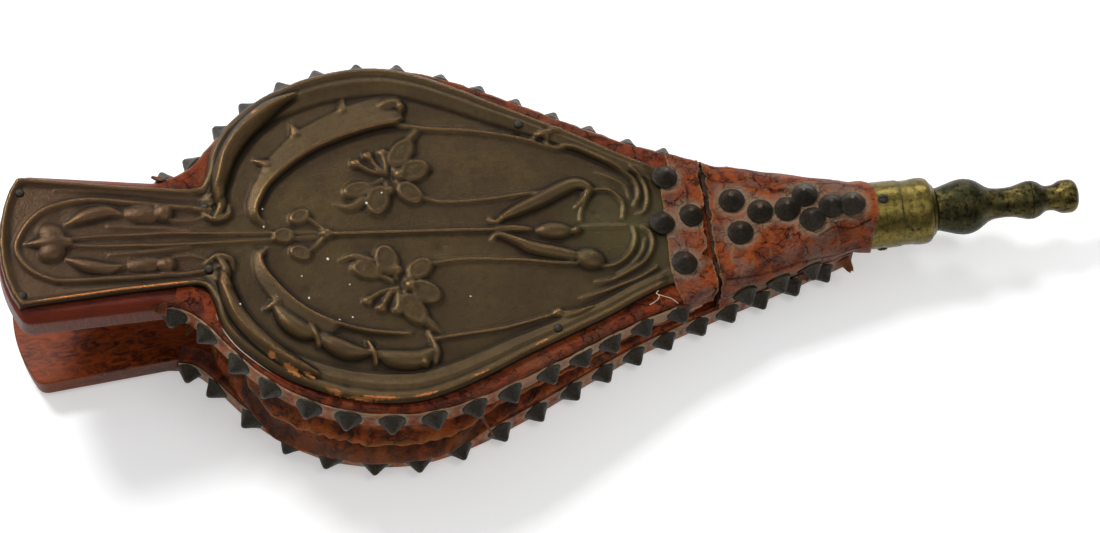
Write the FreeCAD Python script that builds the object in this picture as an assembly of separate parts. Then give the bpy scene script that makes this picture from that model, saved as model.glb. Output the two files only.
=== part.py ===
import FreeCAD, Part
import os, math

# Hand-held hearth bellows, one assembly, millimetres.
# +X runs from the handles to the nozzle, +Z is up, Y is across the boards.
# The origin is on the underside of the bottom board, on the centre line,
# just behind the nose block. The +Y side is "far", the -Y side is "near".
# The top board and all that is fixed to it are drawn in the top board's own
# frame and then raised to the resting angle.
# Each piece of the object is one node, written to parts/.

os.makedirs("parts", exist_ok=True)
Vector = FreeCAD.Vector
UP = (0, 0, 1)

# ---------------------------------------------------------------- dimensions
BOARD_T = 14.0          # thickness of both boards
OPEN_DEG = 8.26         # angle of the top board above the bottom board at rest
PLATE_Z = 25.8          # height of the top board's own origin, at X = 0
TOP_H = 10.0            # outer face of the top board above that origin
TOP_UNDER = TOP_H - BOARD_T
HANDLE_END = -313.0     # end of both handles, on the centre line
HANDLE_CORNER_X = -301.5
HANDLE_CORNER_W = 38.5  # half width at the end corners
CHAMFER = 3.5           # bevel on the outer edges of the handles
GAP = 0.02              # gap between pieces that lie on each other

SHEET_T = 1.4           # copper facing sheet
SHEET_TOP = TOP_H + SHEET_T
EMBED_Z = TOP_H + 0.5   # level inside the sheet where lip hollow and relief start
LIP_W = 2.2             # turned edge of the facing
LIP_H = 3.2             # height of the turned edge above the board

LEATHER_T = 1.6
BAND_H = 12.4           # height of the edge bands
STUD_R = 6.2            # stud head
STUD_H = 6.8
SHANK_R = 0.9
SHANK_L = 9.0
SHANK_CLEAR = 0.12      # radial gap round a shank
PIN_HOLE_R = 0.82       # holes for facing pins and valve tacks
PIN_HEAD_SEAT_R = 2.6
PIN_HOLE_DEPTH = 8.6    # below the top board's outer face

NOSE_X0 = 19.0          # rear face of the nose block
NOSE_X1 = 90.0          # front shoulder of the nose block
NOSE_L = NOSE_X1 - NOSE_X0
# Nose sections: half width at the foot, half width at the shoulders,
# height of the top, shoulder radius.
NOSE_REAR = (33.6, 34.6, 34.0, 7.0)
NOSE_FRONT = (10.0, 15.0, 41.0, 14.0)
NOSE_LIFT = math.atan2(NOSE_FRONT[2] - NOSE_REAR[2], NOSE_L)  # slope of the top
NOSE_YAW = math.atan2(20.0, NOSE_L)     # turn of the side studs towards the front
SIDE_STUD_Z = 14.6 + STUD_R
SIDE_STUD_LIFT = 0.35   # side studs stand this far off the leather
AXIS_Z = 26.0           # height of the nozzle axis
TENON_R = 14.8
TENON_X = 121.0         # front end of the tenon
TENON_ROOT_X = NOSE_X1 - 4.0
BORE_R = 6.0            # air passage through the nose block
FERRULE_R = 16.0
FERRULE_CLEAR = 0.15    # radial gap between ferrule and leather
COLLAR_R = 17.55        # leather collar round the rear of the ferrule
COLLAR_X = 88.0
COLLAR_L = 11.0
SCREW_X = 102.5
SCREW_DEG = (90.0, 210.0, 330.0)
SCREW_HOLE_R = 1.05
NOZZLE_BORE_R = 3.5
NOZZLE_TENON_R = 8.0
NOZZLE_X0 = 109.0       # rear end of the nozzle
NOZZLE_SHOULDER_X = 129.1
NOZZLE_X1 = 198.8       # front end of the nozzle

VALVE_X = -130.0        # centre of the air inlet
INLET_R = 13.0
FLAP_X0 = -156.0
FLAP_X1 = -106.0
FLAP_W = 24.0           # half width
FLAP_T = 2.0
FLAP_CORNER_R = 6.0
CLAPPER_X0 = -151.0
CLAPPER_L = 38.0
CLAPPER_W = 20.0        # half width
CLAPPER_T = 2.5
CLAPPER_CORNER_R = 4.0
BATTEN_X0 = -105.0
BATTEN_X1 = -97.0
BATTEN_T = 3.0

STRAP_REAR = -10.5      # hinge leather
STRAP_FRONT = 17.0
STRAP_FLAT_Z = 11.62    # underside of its level part
STRAP_FRONT_Z = 10.95   # underside at its front end
GUSSET_INSET = 1.2      # outside of the gusset, inside the board's edge

# ------------------------------------------------------------------ outlines
# (x, half width) of the boards, front end back to the root of the handle.
TOP_HALF = [(13.5, 34.5), (0, 40.0), (-18, 46.3), (-35, 53.8), (-51, 61.4), (-68, 69.4),
            (-86, 77.7), (-103, 84.4), (-122, 89.3), (-140, 90.3), (-160, 87.6), (-177, 81.5),
            (-193.5, 71.0), (-206.4, 58.8), (-218, 45.0), (-227, 36.0), (-236, 32.5)]
BOTTOM_HALF = [(90.0, 10.0), (73, 15.9), (57, 21.4), (40, 27.1), (19, 34.0), (0, 40.8),
               (-18, 47.4), (-35, 55.0), (-51, 62.8), (-68, 71.2), (-86, 79.4), (-103, 86.2),
               (-122, 91.2), (-140, 92.0), (-160, 88.8), (-177, 82.0), (-193.5, 71.3),
               (-206.4, 59.0), (-218, 45.0), (-227, 36.0), (-236, 32.5)]
# (x, half width) of the copper facing, front end back along the handle.
FACING_HALF = [(-1.0, 29.9), (-10.4, 33.8), (-22.3, 39.4), (-36.6, 47.0), (-50.8, 53.6),
               (-65.1, 60.1), (-79, 66.4), (-90, 72.0), (-100, 76.7), (-110, 81.0),
               (-120, 84.4), (-129.1, 86.4), (-140.2, 86.9), (-150.3, 85.8), (-165.4, 82.3),
               (-180.5, 76.0), (-190.6, 70.3), (-200.7, 62.2), (-208.8, 53.6), (-214.6, 43.5),
               (-217.2, 33.0), (-220.2, 25.6), (-224.5, 23.6)]
FACING_HANDLE = [(-231, 24.0), (-257.3, 26.2), (-303.2, 31.8)]
FACING_END = -311.6
# (x, y) of the hinge leather in plan, and of the far half of the gusset's tail.
STRAP_PLAN = [(STRAP_REAR, 33.4), (-3.0, 37.6), (STRAP_FRONT, 33.2), (STRAP_FRONT, -33.2),
              (2.0, -38.2), (-6.5, -35.0), (-9.0, -18.0), (STRAP_REAR, 0.0)]
GUSSET_TAIL = [(-214.5, 45.0), (-219.5, 33.0), (-221.5, 16.0), (-222.0, 0.0)]

# ----------------------------------------------------------- facing ornament
RIM_INSET = 5.8
RIM_W = 5.0
RIM_H = 2.2
# Ribs on each side: width, height, (x, y) path.
SIDE_RIBS = [
    (2.4, 1.4, [(-297.0, 10.5), (-286.0, 18.6), (-270.0, 20.2), (-246.0, 18.4), (-226.0, 16.0)]),
    (4.4, 2.2, [(-192.0, 9.0), (-195.5, 18.0), (-190.0, 33.0), (-176.0, 48.0), (-160.0, 57.5),
                (-143.0, 63.0), (-127.0, 66.0)]),
    (2.2, 1.3, [(-121.0, 56.5), (-102.0, 54.0), (-80.0, 50.0), (-62.0, 45.0), (-46.0, 40.5),
                (-31.0, 34.0)]),
    (2.2, 1.3, [(-120.0, 19.5), (-112.0, 15.6), (-90.0, 16.2), (-66.0, 19.0), (-50.0, 22.5),
                (-40.0, 22.0)]),
]
MIDDLE_RIB = [(-210.0, 0.3), (-180.0, 0.3), (-140.0, 0.0), (-105.0, 0.2), (-84.0, 0.0)]
# Domed bosses: x, y, foot radius, height.
SIDE_BOSSES = [(-131.0, 29.5, 5.4, 2.6), (-143.0, 17.0, 4.6, 1.8), (-122.0, 37.0, 4.4, 1.8),
               (-139.0, 39.5, 3.4, 1.6), (-239.0, 12.6, 3.8, 1.8), (-262.0, 12.6, 4.0, 1.8)]
MIDDLE_BOSSES = [(-287.0, 0.0, 7.5, 2.8), (-56.0, -1.5, 6.2, 2.6)]

# ---------------------------------------------------------- fastener places
# x of the studs along the board edges.
TOP_NEAR_STUDS = [-234.8, -219.7, -206.4, -193.5, -176.9, -160.1, -140.6, -121.7, -102.9,
                  -86.2, -67.4, -51.3, -36.6, -20.1, -1.5]
TOP_FAR_STUDS = [-235.5, -221.0, -206.4, -193.6, -177.0, -160.4, -141.4, -122.8, -102.8,
                 -85.3, -68.2, -50.8, -33.6, -15.3, 1.4]
BOTTOM_STUDS = [-231.0, -218.0, -203.2, -186.0, -169.0, -148.6, -128.9, -109.7, -90.5, -72.5,
                -54.9, -39.0, -23.2, -7.5, 9.2, 24.5, 40.6, 57.0, 73.0]
# (x, y) of the studs on top of the nose, then x of those on its sides.
NOSE_TOP_STUDS = [(31.6, 10.0), (33.2, -7.6), (44.0, 2.0), (56.8, 1.2), (66.0, 7.2),
                  (67.6, -6.0), (77.6, -0.6), (87.4, -1.0)]
NOSE_SIDE_STUDS = (33.0, 49.5, 65.5)
# (x, y) of the facing pins and of the valve tacks.
PINS = [(-302.4, 26.6), (-302.4, -26.6), (-219.0, 16.5), (-219.0, -16.5),
        (-68.0, 56.0), (-62.0, -53.6)]
TACKS = [((BATTEN_X0 + BATTEN_X1) / 2.0, y) for y in (-17.0, 0.0, 17.0)]

# ------------------------------------------------------------ turned profiles
# Fasteners: (height above the surface they sit on, radius).
STUD_PROFILE = [(-SHANK_L, 0.0), (-SHANK_L + 1.4, SHANK_R), (0.0, SHANK_R), (0.0, STUD_R),
                (0.45, STUD_R), (1.5, 5.0), (3.0, 3.75), (4.6, 2.75), (5.9, 1.9), (6.5, 1.2),
                (STUD_H, 0.0)]
PIN_PROFILE = [(-8.2, 0.0), (-7.2, 0.7), (0.0, 0.7), (0.0, 2.2), (0.5, 2.0), (0.9, 1.3),
               (1.1, 0.0)]
SCREW_PROFILE = [(-7.0, 0.0), (-6.0, 0.95), (0.0, 0.95), (0.0, 2.4), (0.5, 2.3), (1.0, 1.5),
                 (1.2, 0.0)]
TACK_PROFILE = [(-10.0, 0.0), (-9.0, 0.7), (0.0, 0.7), (0.0, 2.3), (0.4, 2.0), (0.8, 0.0)]
# Pieces on the nozzle axis: (x, radius).
FERRULE_PROFILE = [(90.4, 14.9), (121.4, 14.9), (121.4, 8.2), (129.0, 8.2), (129.0, 10.8),
                   (128.2, 12.4), (127.0, 13.4), (126.0, 14.9), (124.0, 15.8), (121.0, 16.0),
                   (117.5, 15.6), (112.0, 15.6), (110.8, 15.9), (90.4, FERRULE_R)]
NOZZLE_PROFILE = [
    (NOZZLE_X0, NOZZLE_TENON_R), (NOZZLE_SHOULDER_X, NOZZLE_TENON_R), (NOZZLE_SHOULDER_X, 9.9),
    (131.0, 10.4), (133.3, 11.1), (135.6, 11.8), (139.5, 12.9), (143.3, 13.4), (146.5, 13.0),
    (149.5, 11.9), (152.0, 10.3), (154.1, 8.85), (156.3, 7.8), (158.6, 7.35), (163.1, 7.1),
    (167.8, 7.5), (170.8, 8.3), (173.3, 8.95), (175.3, 9.2), (175.8, 8.85), (176.3, 9.2),
    (178.3, 8.8), (180.1, 8.0), (182.0, 6.7), (184.0, 6.05), (187.3, 6.3), (189.3, 7.2),
    (191.2, 7.9), (194.0, 8.1), (196.0, 7.9), (197.6, 7.0), (198.5, 5.6), (NOZZLE_X1, 4.4),
    (NOZZLE_X1, NOZZLE_BORE_R), (NOZZLE_X0, NOZZLE_BORE_R)]


# ------------------------------------------------------------- plane helpers
def spline(points, steps):
    """Catmull-Rom curve through the points, as (x, y) tuples."""
    curve = []
    last = len(points) - 1
    for i in range(last):
        before = points[max(i - 1, 0)]
        start = points[i]
        end = points[i + 1]
        after = points[min(i + 2, last)]
        for k in range(steps):
            t = k / float(steps)
            curve.append(tuple(
                0.5 * (2 * start[j] + (end[j] - before[j]) * t
                       + (2 * before[j] - 5 * start[j] + 4 * end[j] - after[j]) * t * t
                       + (3 * start[j] - before[j] - 3 * end[j] + after[j]) * t ** 3)
                for j in range(2)))
    curve.append(tuple(map(float, points[-1])))
    return curve


def offset(points, distance):
    """Open path moved to its left; left is inward on an outline run towards -X."""
    moved = []
    for i, point in enumerate(points):
        before = points[max(i - 1, 0)]
        after = points[min(i + 1, len(points) - 1)]
        dx, dy = after[0] - before[0], after[1] - before[1]
        length = math.hypot(dx, dy)
        moved.append((point[0] - dy / length * distance, point[1] + dx / length * distance))
    return moved


def mirrored(points):
    """The path on the other side of the centre line, run backwards."""
    return [(x, -y) for x, y in reversed(points)]


def half_at(curve, x):
    """Half width and outward normal of an outline at one x, on the +Y side."""
    for start, end in zip(curve, curve[1:]):
        if (start[0] - x) * (end[0] - x) <= 0 and start[0] != end[0]:
            t = (x - start[0]) / (end[0] - start[0])
            dx, dy = end[0] - start[0], end[1] - start[1]
            length = math.hypot(dx, dy)
            # the curve runs towards -X, so its right side is outside
            return start[1] + t * dy, (dy / length, -dx / length)
    raise ValueError(x)


# ------------------------------------------------------------- solid helpers
def polygon_face(corners):
    return Part.Face(Part.makePolygon(corners + [corners[0]]))


def prism(points, z0, z1):
    return polygon_face([Vector(x, y, z0) for x, y in points]).extrude(Vector(0, 0, z1 - z0))


def slab(edges):
    """Board-thick solid on a closed outline."""
    outline = Part.Wire(Part.__sortEdges__(edges))
    return Part.Face(outline).extrude(Vector(0, 0, BOARD_T))


def raise_board(shape):
    """Put a piece drawn in the top board's own frame at the resting angle."""
    raised = shape.copy()
    raised.Placement = FreeCAD.Placement(Vector(0, 0, PLATE_Z),
                                         FreeCAD.Rotation(Vector(0, 1, 0), OPEN_DEG))
    return raised


def export(shape, name):
    shape.exportStep("parts/%s.step" % name)


def revolve_on_axis(profile):
    """Solid of revolution about the nozzle axis."""
    section = polygon_face([Vector(x, 0, AXIS_Z + radius) for x, radius in profile])
    return section.revolve(Vector(0, 0, AXIS_Z), Vector(1, 0, 0), 360)


def rod(radius, length, x):
    """Cylinder on the nozzle axis, running forward from x."""
    return Part.makeCylinder(radius, length, Vector(x, 0, AXIS_Z), Vector(1, 0, 0))


def front_box(x, z):
    """Large box in front of x and above z, for trimming pieces on the axis."""
    return Part.makeBox(60, 60, 60, Vector(x, -30, z))


def upright_holes(points, radius, height, z):
    return [Part.makeCylinder(radius, height, Vector(x, y, z)) for x, y in points]


# A place is a point on a surface and the outward direction there.
def set_on(shape, place):
    point, direction = place
    turn = FreeCAD.Rotation(Vector(*UP), Vector(*direction))
    shape.Placement = FreeCAD.Placement(Vector(*point), turn)
    return shape


def fasteners(places, profile):
    """One turned fastener at each place."""
    solids = []
    for place in places:
        section = polygon_face([Vector(radius, 0, height) for height, radius in profile])
        solid = section.revolve(Vector(0, 0, 0), Vector(0, 0, 1), 360)
        solids.append(set_on(solid, place))
    return Part.Compound(solids)


def holes(places, radius, depth, above):
    """Holes that start above the surface and reach the given depth."""
    return Part.Compound([
        set_on(Part.makeCylinder(radius, depth + above, Vector(0, 0, -depth)), place)
        for place in places])


def drill(shape, places):
    """Cut the holes for stud shanks."""
    return shape.cut(holes(places, SHANK_R + SHANK_CLEAR, depth=SHANK_L + 0.5, above=5.5))


# -------------------------------------------------------------------- places
def edge_places(curve, stations, side, z):
    """Places on the outside of an edge band."""
    out = LEATHER_T + GAP
    places = []
    for x in stations:
        width, (nx, ny) = half_at(curve, x)
        places.append(((x + nx * out, side * (width + ny * out), z), (nx, side * ny, 0.0)))
    return places


def nose_dims(x):
    """Section of the nose block at x, with the columns of NOSE_REAR."""
    t = (x - NOSE_X0) / NOSE_L
    return [rear + t * (front - rear) for rear, front in zip(NOSE_REAR, NOSE_FRONT)]


def nose_top_place(x, y):
    """Place on the flat top of the nose leather."""
    top_z = nose_dims(x)[2]
    return (x, y, top_z + LEATHER_T + 0.05), (-math.sin(NOSE_LIFT), 0.0, math.cos(NOSE_LIFT))


def nose_side_place(x, side):
    """Place on the leaning side of the nose leather."""
    foot, shoulder, top_z, radius = nose_dims(x)
    rise = top_z - radius - BOARD_T
    y = foot + (SIDE_STUD_Z - BOARD_T) / rise * (shoulder - foot) + LEATHER_T
    lean = math.atan2(shoulder - foot, rise)
    normal = (math.sin(NOSE_YAW) * math.cos(lean), side * math.cos(NOSE_YAW) * math.cos(lean),
              -math.sin(lean))
    surface = (x, side * y, SIDE_STUD_Z)
    return tuple(p + n * SIDE_STUD_LIFT for p, n in zip(surface, normal)), normal


def screw_place(degrees):
    """Place round the ferrule."""
    angle = math.radians(degrees)
    ny, nz = math.cos(angle), math.sin(angle)
    radius = FERRULE_R + 0.06
    return (SCREW_X, radius * ny, AXIS_Z + radius * nz), (0.0, ny, nz)


top_curve = spline(TOP_HALF, 4)
bottom_curve = spline(BOTTOM_HALF, 4)
facing_curve = spline(FACING_HALF, 3)

top_mid = TOP_H - BOARD_T / 2.0
top_places = (edge_places(top_curve, TOP_NEAR_STUDS, -1, top_mid)
              + edge_places(top_curve, TOP_FAR_STUDS, 1, top_mid))
bottom_places = (edge_places(bottom_curve, BOTTOM_STUDS, -1, BOARD_T / 2.0)
                 + edge_places(bottom_curve, BOTTOM_STUDS, 1, BOARD_T / 2.0))
# Hinge leather studs, in the top board's frame; the front one is tilted.
# The first two pass through the facing.
tilt = math.atan2(0.9, 15.07)
hinge_places = [((-0.6, 25.1, 13.3), UP), ((-5.2, 0.3, 13.3), UP), ((2.6, -21.4, 13.3), UP),
                ((9.4, 4.3, 12.25), (-math.sin(tilt), 0, math.cos(tilt)))]
nose_top_places = [nose_top_place(x, y) for x, y in NOSE_TOP_STUDS]
nose_side_places = [nose_side_place(x, side) for side in (-1, 1) for x in NOSE_SIDE_STUDS]
nose_places = nose_top_places + nose_side_places
screw_places = [screw_place(degrees) for degrees in SCREW_DEG]
pin_places = [((x, y, SHEET_TOP + GAP), UP) for x, y in PINS]
tack_places = [((x, y, BOARD_T + BATTEN_T + 2 * GAP), UP) for x, y in TACKS]

top_studs = fasteners(top_places, STUD_PROFILE)
bottom_studs = fasteners(bottom_places, STUD_PROFILE)
hinge_studs = fasteners(hinge_places, STUD_PROFILE)
nose_top_studs = fasteners(nose_top_places, STUD_PROFILE)
nose_side_studs = fasteners(nose_side_places, STUD_PROFILE)
screw_holes = holes(screw_places, SCREW_HOLE_R, depth=7.6, above=4.0)
pin_holes = upright_holes(PINS, PIN_HOLE_R, 20.0, TOP_H - PIN_HOLE_DEPTH)


# -------------------------------------------------------------------- boards
def board(half, z0, bevel_z):
    """Board: spline sides, straight handle sides, arched and bevelled handle."""
    far = [Vector(x, width, z0) for x, width in half]
    near = [Vector(x, -width, z0) for x, width in half]
    far_side = Part.BSplineCurve()
    far_side.interpolate(far)
    near_side = Part.BSplineCurve()
    near_side.interpolate(near)
    belly = slab([far_side.toShape(), Part.makeLine(far[-1], near[-1]), near_side.toShape(),
                  Part.makeLine(near[0], far[0])])

    far_corner = Vector(HANDLE_CORNER_X, HANDLE_CORNER_W, z0)
    near_corner = Vector(HANDLE_CORNER_X, -HANDLE_CORNER_W, z0)
    end_arc = Part.Arc(far_corner, Vector(HANDLE_END, 0, z0), near_corner).toShape()
    grip = slab([Part.makeLine(far[-1], far_corner), end_arc,
                 Part.makeLine(near_corner, near[-1]), Part.makeLine(near[-1], far[-1])])

    # bevel the edges at bevel_z, except the one across the root of the handle
    bevelled = []
    for edge in grip.Edges:
        box = edge.BoundBox
        level = abs(box.ZMin - bevel_z) < 1e-4 and abs(box.ZMax - bevel_z) < 1e-4
        if level and box.XMin < half[-1][0] - 1.0:
            bevelled.append(edge)
    return belly.fuse(grip.makeChamfer(CHAMFER, bevelled)).removeSplitter()


def make_bottom_board():
    shape = board(BOTTOM_HALF, 0.0, bevel_z=0.0)
    shape = shape.cut(Part.makeCylinder(INLET_R, 40, Vector(VALVE_X, 0, -10)))
    tack_holes = Part.Compound(upright_holes(TACKS, PIN_HOLE_R, 9.0, BOARD_T - 7.5))
    return drill(shape, bottom_places).cut(tack_holes).cut(bottom_studs)


def make_top_board():
    shape = drill(board(TOP_HALF, TOP_UNDER, bevel_z=TOP_H), top_places + hinge_places)
    return shape.cut(Part.Compound(pin_holes)).cut(top_studs)


# ------------------------------------------------------------- copper facing
def rib(points, width, height, side=1, steps=4):
    """Raised moulding with a stepped crown that follows a curve on the sheet."""
    path = spline([(x, side * y) for x, y in points], steps)
    layers = []
    for layer_w, layer_h in ((width, height * 0.6), (width * 0.55, height)):
        left = offset(path, layer_w / 2.0)
        right = offset(path, -layer_w / 2.0)
        layers.append(prism(left + right[::-1], EMBED_Z, SHEET_TOP + layer_h))
    return layers[0].fuse(layers[1])


def boss(x, y, foot, height):
    """Domed boss with the given foot radius on the sheet."""
    radius = (foot * foot + height * height) / (2.0 * height)
    ball = Part.makeSphere(radius, Vector(x, y, SHEET_TOP + height - radius))
    corner = Vector(x - 2 * radius, y - 2 * radius, EMBED_Z)
    return ball.common(Part.makeBox(4 * radius, 4 * radius, 4 * radius, corner))


def make_relief():
    rim_path = offset(facing_curve, RIM_INSET)[4:-7:3]
    relief = []
    for side in (1, -1):
        relief.append(rib(rim_path, RIM_W, RIM_H, side, 1))
        relief += [rib(points, width, height, side) for width, height, points in SIDE_RIBS]
        relief += [boss(x, side * y, foot, height) for x, y, foot, height in SIDE_BOSSES]
    relief.append(rib(MIDDLE_RIB, 2.4, 1.3, steps=2))
    relief += [boss(*row) for row in MIDDLE_BOSSES]
    return relief


def make_facing():
    """Sheet with a lip along the sides and handle end, open at the front."""
    side_path = facing_curve + FACING_HANDLE
    corner_x, corner_w = side_path[-1]
    rise = corner_x - FACING_END
    radius = (corner_w * corner_w + rise * rise) / (2 * rise)
    half_angle = math.asin(corner_w / radius)
    inner_radius = radius - LIP_W
    end_arc = []
    inner_arc = []
    for k in range(1, 12):
        angle = half_angle - 2 * half_angle * k / 12.0
        across, along = math.sin(angle), math.cos(angle)
        end_arc.append((FACING_END + radius - radius * along, radius * across))
        # narrowed a little, to keep the lip's width near the corners
        inner_arc.append((FACING_END + radius - inner_radius * along,
                          inner_radius * across * 0.94))

    outline = side_path + end_arc + mirrored(side_path)
    inner = offset(side_path, LIP_W)
    hollow_side = ([(inner[0][0] + 6.0, inner[0][1])] + inner[:-1]
                   + [(corner_x + LIP_W, corner_w - LIP_W)])
    hollow = hollow_side + inner_arc + mirrored(hollow_side)

    sheet = prism(outline, TOP_H + GAP, SHEET_TOP)
    lip = prism(outline, TOP_H + GAP, TOP_H + LIP_H)
    lip = lip.cut(prism(hollow, EMBED_Z, TOP_H + LIP_H + 1))
    shape = sheet.fuse(lip).multiFuse(make_relief())
    head_seats = upright_holes(PINS, PIN_HEAD_SEAT_R, 8.0, SHEET_TOP)
    shape = shape.cut(Part.Compound(pin_holes + head_seats))
    return drill(shape, hinge_places[:2]).removeSplitter()


# ---------------------------------------------------------------------- nose
def nose_section(x, dims, grow):
    """Closed section: flat underside, leaning sides, rounded shoulders."""
    foot, width, top, radius = [value + grow for value in dims]
    inset = radius * (1 - math.sqrt(0.5))
    points = [Vector(x, y, z) for y, z in (
        (-foot, BOARD_T), (-width, top - radius), (-width + inset, top - inset),
        (-width + radius, top), (width - radius, top), (width - inset, top - inset),
        (width, top - radius), (foot, BOARD_T))]
    return Part.Wire([Part.makeLine(points[0], points[1]), Part.Arc(*points[1:4]).toShape(),
                      Part.makeLine(points[3], points[4]), Part.Arc(*points[4:7]).toShape(),
                      Part.makeLine(points[6], points[7]), Part.makeLine(points[7], points[0])])


def nose_loft(grow=0.0):
    return Part.makeLoft([nose_section(NOSE_X0, NOSE_REAR, grow),
                          nose_section(NOSE_X1, NOSE_FRONT, grow)], True, True)


def make_nose(block):
    """Block and tenon, bored for air and socketed for the nozzle."""
    tenon = rod(TENON_R, TENON_X - TENON_ROOT_X, TENON_ROOT_X)
    # nothing of the tenon below the block's underside, behind the shoulder
    tenon = tenon.common(front_box(TENON_ROOT_X, BOARD_T).fuse(front_box(NOSE_X1 + 0.3, 0)))
    shape = block.fuse(tenon)
    shape = shape.cut(rod(BORE_R, 140, 0))
    shape = shape.cut(rod(NOZZLE_TENON_R + 0.1, 30, NOZZLE_X0 - 1.0))
    return drill(shape, nose_places).cut(screw_holes).removeSplitter()


def make_nose_leather(block, nose):
    """Cover over the block, with a collar round the rear of the ferrule."""
    trim = Part.makeBox(200, 120, 60, Vector(NOSE_X0 + 0.6, -60, BOARD_T + 0.25))
    cover = nose_loft(LEATHER_T).common(trim).cut(block)
    collar = rod(COLLAR_R, COLLAR_L, COLLAR_X).cut(rod(FERRULE_R + FERRULE_CLEAR, 40.0, 80.0))
    collar = collar.common(front_box(COLLAR_X, 15.2))
    cover = drill(cover.fuse(collar), nose_places)
    cover = cover.cut(rod(FERRULE_R + FERRULE_CLEAR, 12.0, NOSE_X1))
    return cover.cut(nose).cut(nose_top_studs).cut(nose_side_studs)


# ------------------------------------------------------------------- leather
def make_hinge_leather(facing, top_board):
    """Strap over the facing's front end, dipping slightly towards its own front."""
    side_view = [(STRAP_REAR, STRAP_FLAT_Z), (2.0, STRAP_FLAT_Z), (STRAP_FRONT, STRAP_FRONT_Z),
                 (STRAP_FRONT, STRAP_FRONT_Z + LEATHER_T), (3.6, STRAP_FLAT_Z + LEATHER_T),
                 (STRAP_REAR, STRAP_FLAT_Z + LEATHER_T)]
    strap = polygon_face([Vector(x, -60, z) for x, z in side_view]).extrude(Vector(0, 120, 0))
    strap = drill(strap.common(prism(STRAP_PLAN, 5.0, 20.0)), hinge_places)
    return strap.cut(hinge_studs).cut(facing).cut(top_board)


def make_band(curve, board_z, places, board_shape, studs):
    """Leather strip round a board's edge, one solid per side."""
    path = [point for point in curve if point[0] <= curve[0][0] - 1.0]
    margin = (BOARD_T - BAND_H) / 2.0
    strip = offset(path, -0.06) + offset(path, -LEATHER_T)[::-1]
    solids = [prism([(x, side * y) for x, y in strip], board_z + margin,
                    board_z + BOARD_T - margin) for side in (1, -1)]
    return drill(Part.Compound(solids), places).cut(board_shape).cut(studs)


def make_gusset():
    """Leather wall between the boards, closed behind the belly."""
    wall = [point for point in top_curve if -208.0 <= point[0] <= 11.0]
    wall = offset(wall, GUSSET_INSET) + GUSSET_TAIL
    inside = offset(wall, LEATHER_T)
    inside[-1] = (wall[-1][0] + LEATHER_T, 0.0)
    ring = wall + mirrored(wall[:-1]) + [(x, -y) for x, y in inside[:-1]] + inside[::-1]
    above = raise_board(Part.makeBox(420, 260, 120, Vector(-350, -130, TOP_UNDER - 0.3)))
    return prism(ring, BOARD_T + 0.3, 90.0).cut(above)


# --------------------------------------------------------------------- valve
def make_flap():
    flap = Part.makeBox(FLAP_X1 - FLAP_X0, 2 * FLAP_W, FLAP_T,
                        Vector(FLAP_X0, -FLAP_W, BOARD_T + GAP))
    rear_corners = [edge for edge in flap.Edges
                    if edge.BoundBox.XMax < FLAP_X0 + 0.01 and edge.BoundBox.ZLength > 1.0]
    return flap.makeFillet(FLAP_CORNER_R, rear_corners)


def make_clapper():
    """Stiffening plate on top of the flap."""
    clapper = Part.makeBox(CLAPPER_L, 2 * CLAPPER_W, CLAPPER_T,
                           Vector(CLAPPER_X0, -CLAPPER_W, BOARD_T + FLAP_T + 2 * GAP))
    corners = [edge for edge in clapper.Edges if edge.BoundBox.ZLength > 1.0]
    return clapper.makeFillet(CLAPPER_CORNER_R, corners)


def make_batten():
    batten = Part.makeBox(BATTEN_X1 - BATTEN_X0, 2 * FLAP_W, BATTEN_T,
                          Vector(BATTEN_X0, -FLAP_W, BOARD_T + GAP))
    return batten.cut(Part.Compound(upright_holes(TACKS, PIN_HOLE_R, 12.0, BOARD_T - 4.0)))


# -------------------------------------------------------------------- pieces
bottom_board = make_bottom_board()
top_board = make_top_board()
facing = make_facing()
block = nose_loft()
nose = make_nose(block)

export(bottom_board, "bottom_board")
export(raise_board(top_board), "top_board")
export(raise_board(facing), "copper_facing")
export(raise_board(fasteners(pin_places, PIN_PROFILE)), "facing_pins")
export(nose, "nose_block")
export(make_nose_leather(block, nose), "nose_leather")
export(raise_board(make_hinge_leather(facing, top_board)), "hinge_leather")
export(raise_board(make_band(top_curve, TOP_UNDER, top_places, top_board, top_studs)),
       "top_edge_band")
export(make_band(bottom_curve, 0.0, bottom_places, bottom_board, bottom_studs),
       "bottom_edge_band")
export(raise_board(top_studs), "top_edge_studs")
export(bottom_studs, "bottom_edge_studs")
export(raise_board(hinge_studs), "hinge_studs")
export(nose_top_studs, "nose_top_studs")
export(nose_side_studs, "nose_side_studs")
export(make_gusset(), "gusset_leather")
export(revolve_on_axis(FERRULE_PROFILE).cut(screw_holes), "ferrule")
export(fasteners(screw_places, SCREW_PROFILE), "ferrule_screws")
export(revolve_on_axis(NOZZLE_PROFILE), "nozzle")
export(make_flap(), "valve_flap")
export(make_clapper(), "valve_clapper")
export(make_batten(), "valve_batten")
export(fasteners(tack_places, TACK_PROFILE), "valve_tacks")
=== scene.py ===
# Hand bellows lying flat on a floor. X runs from the handle (-X) to the nozzle (+X), +Z is up,
# +Y is the far side and -Y the near side. The lower board lies level. The upper board is open
# at the handle end and turns about the Y axis near the nose. Lengths are in millimetres and
# become metres when a mesh is made.
import math

import bpy
import numpy as np
from mathutils import Matrix, Vector


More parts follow.
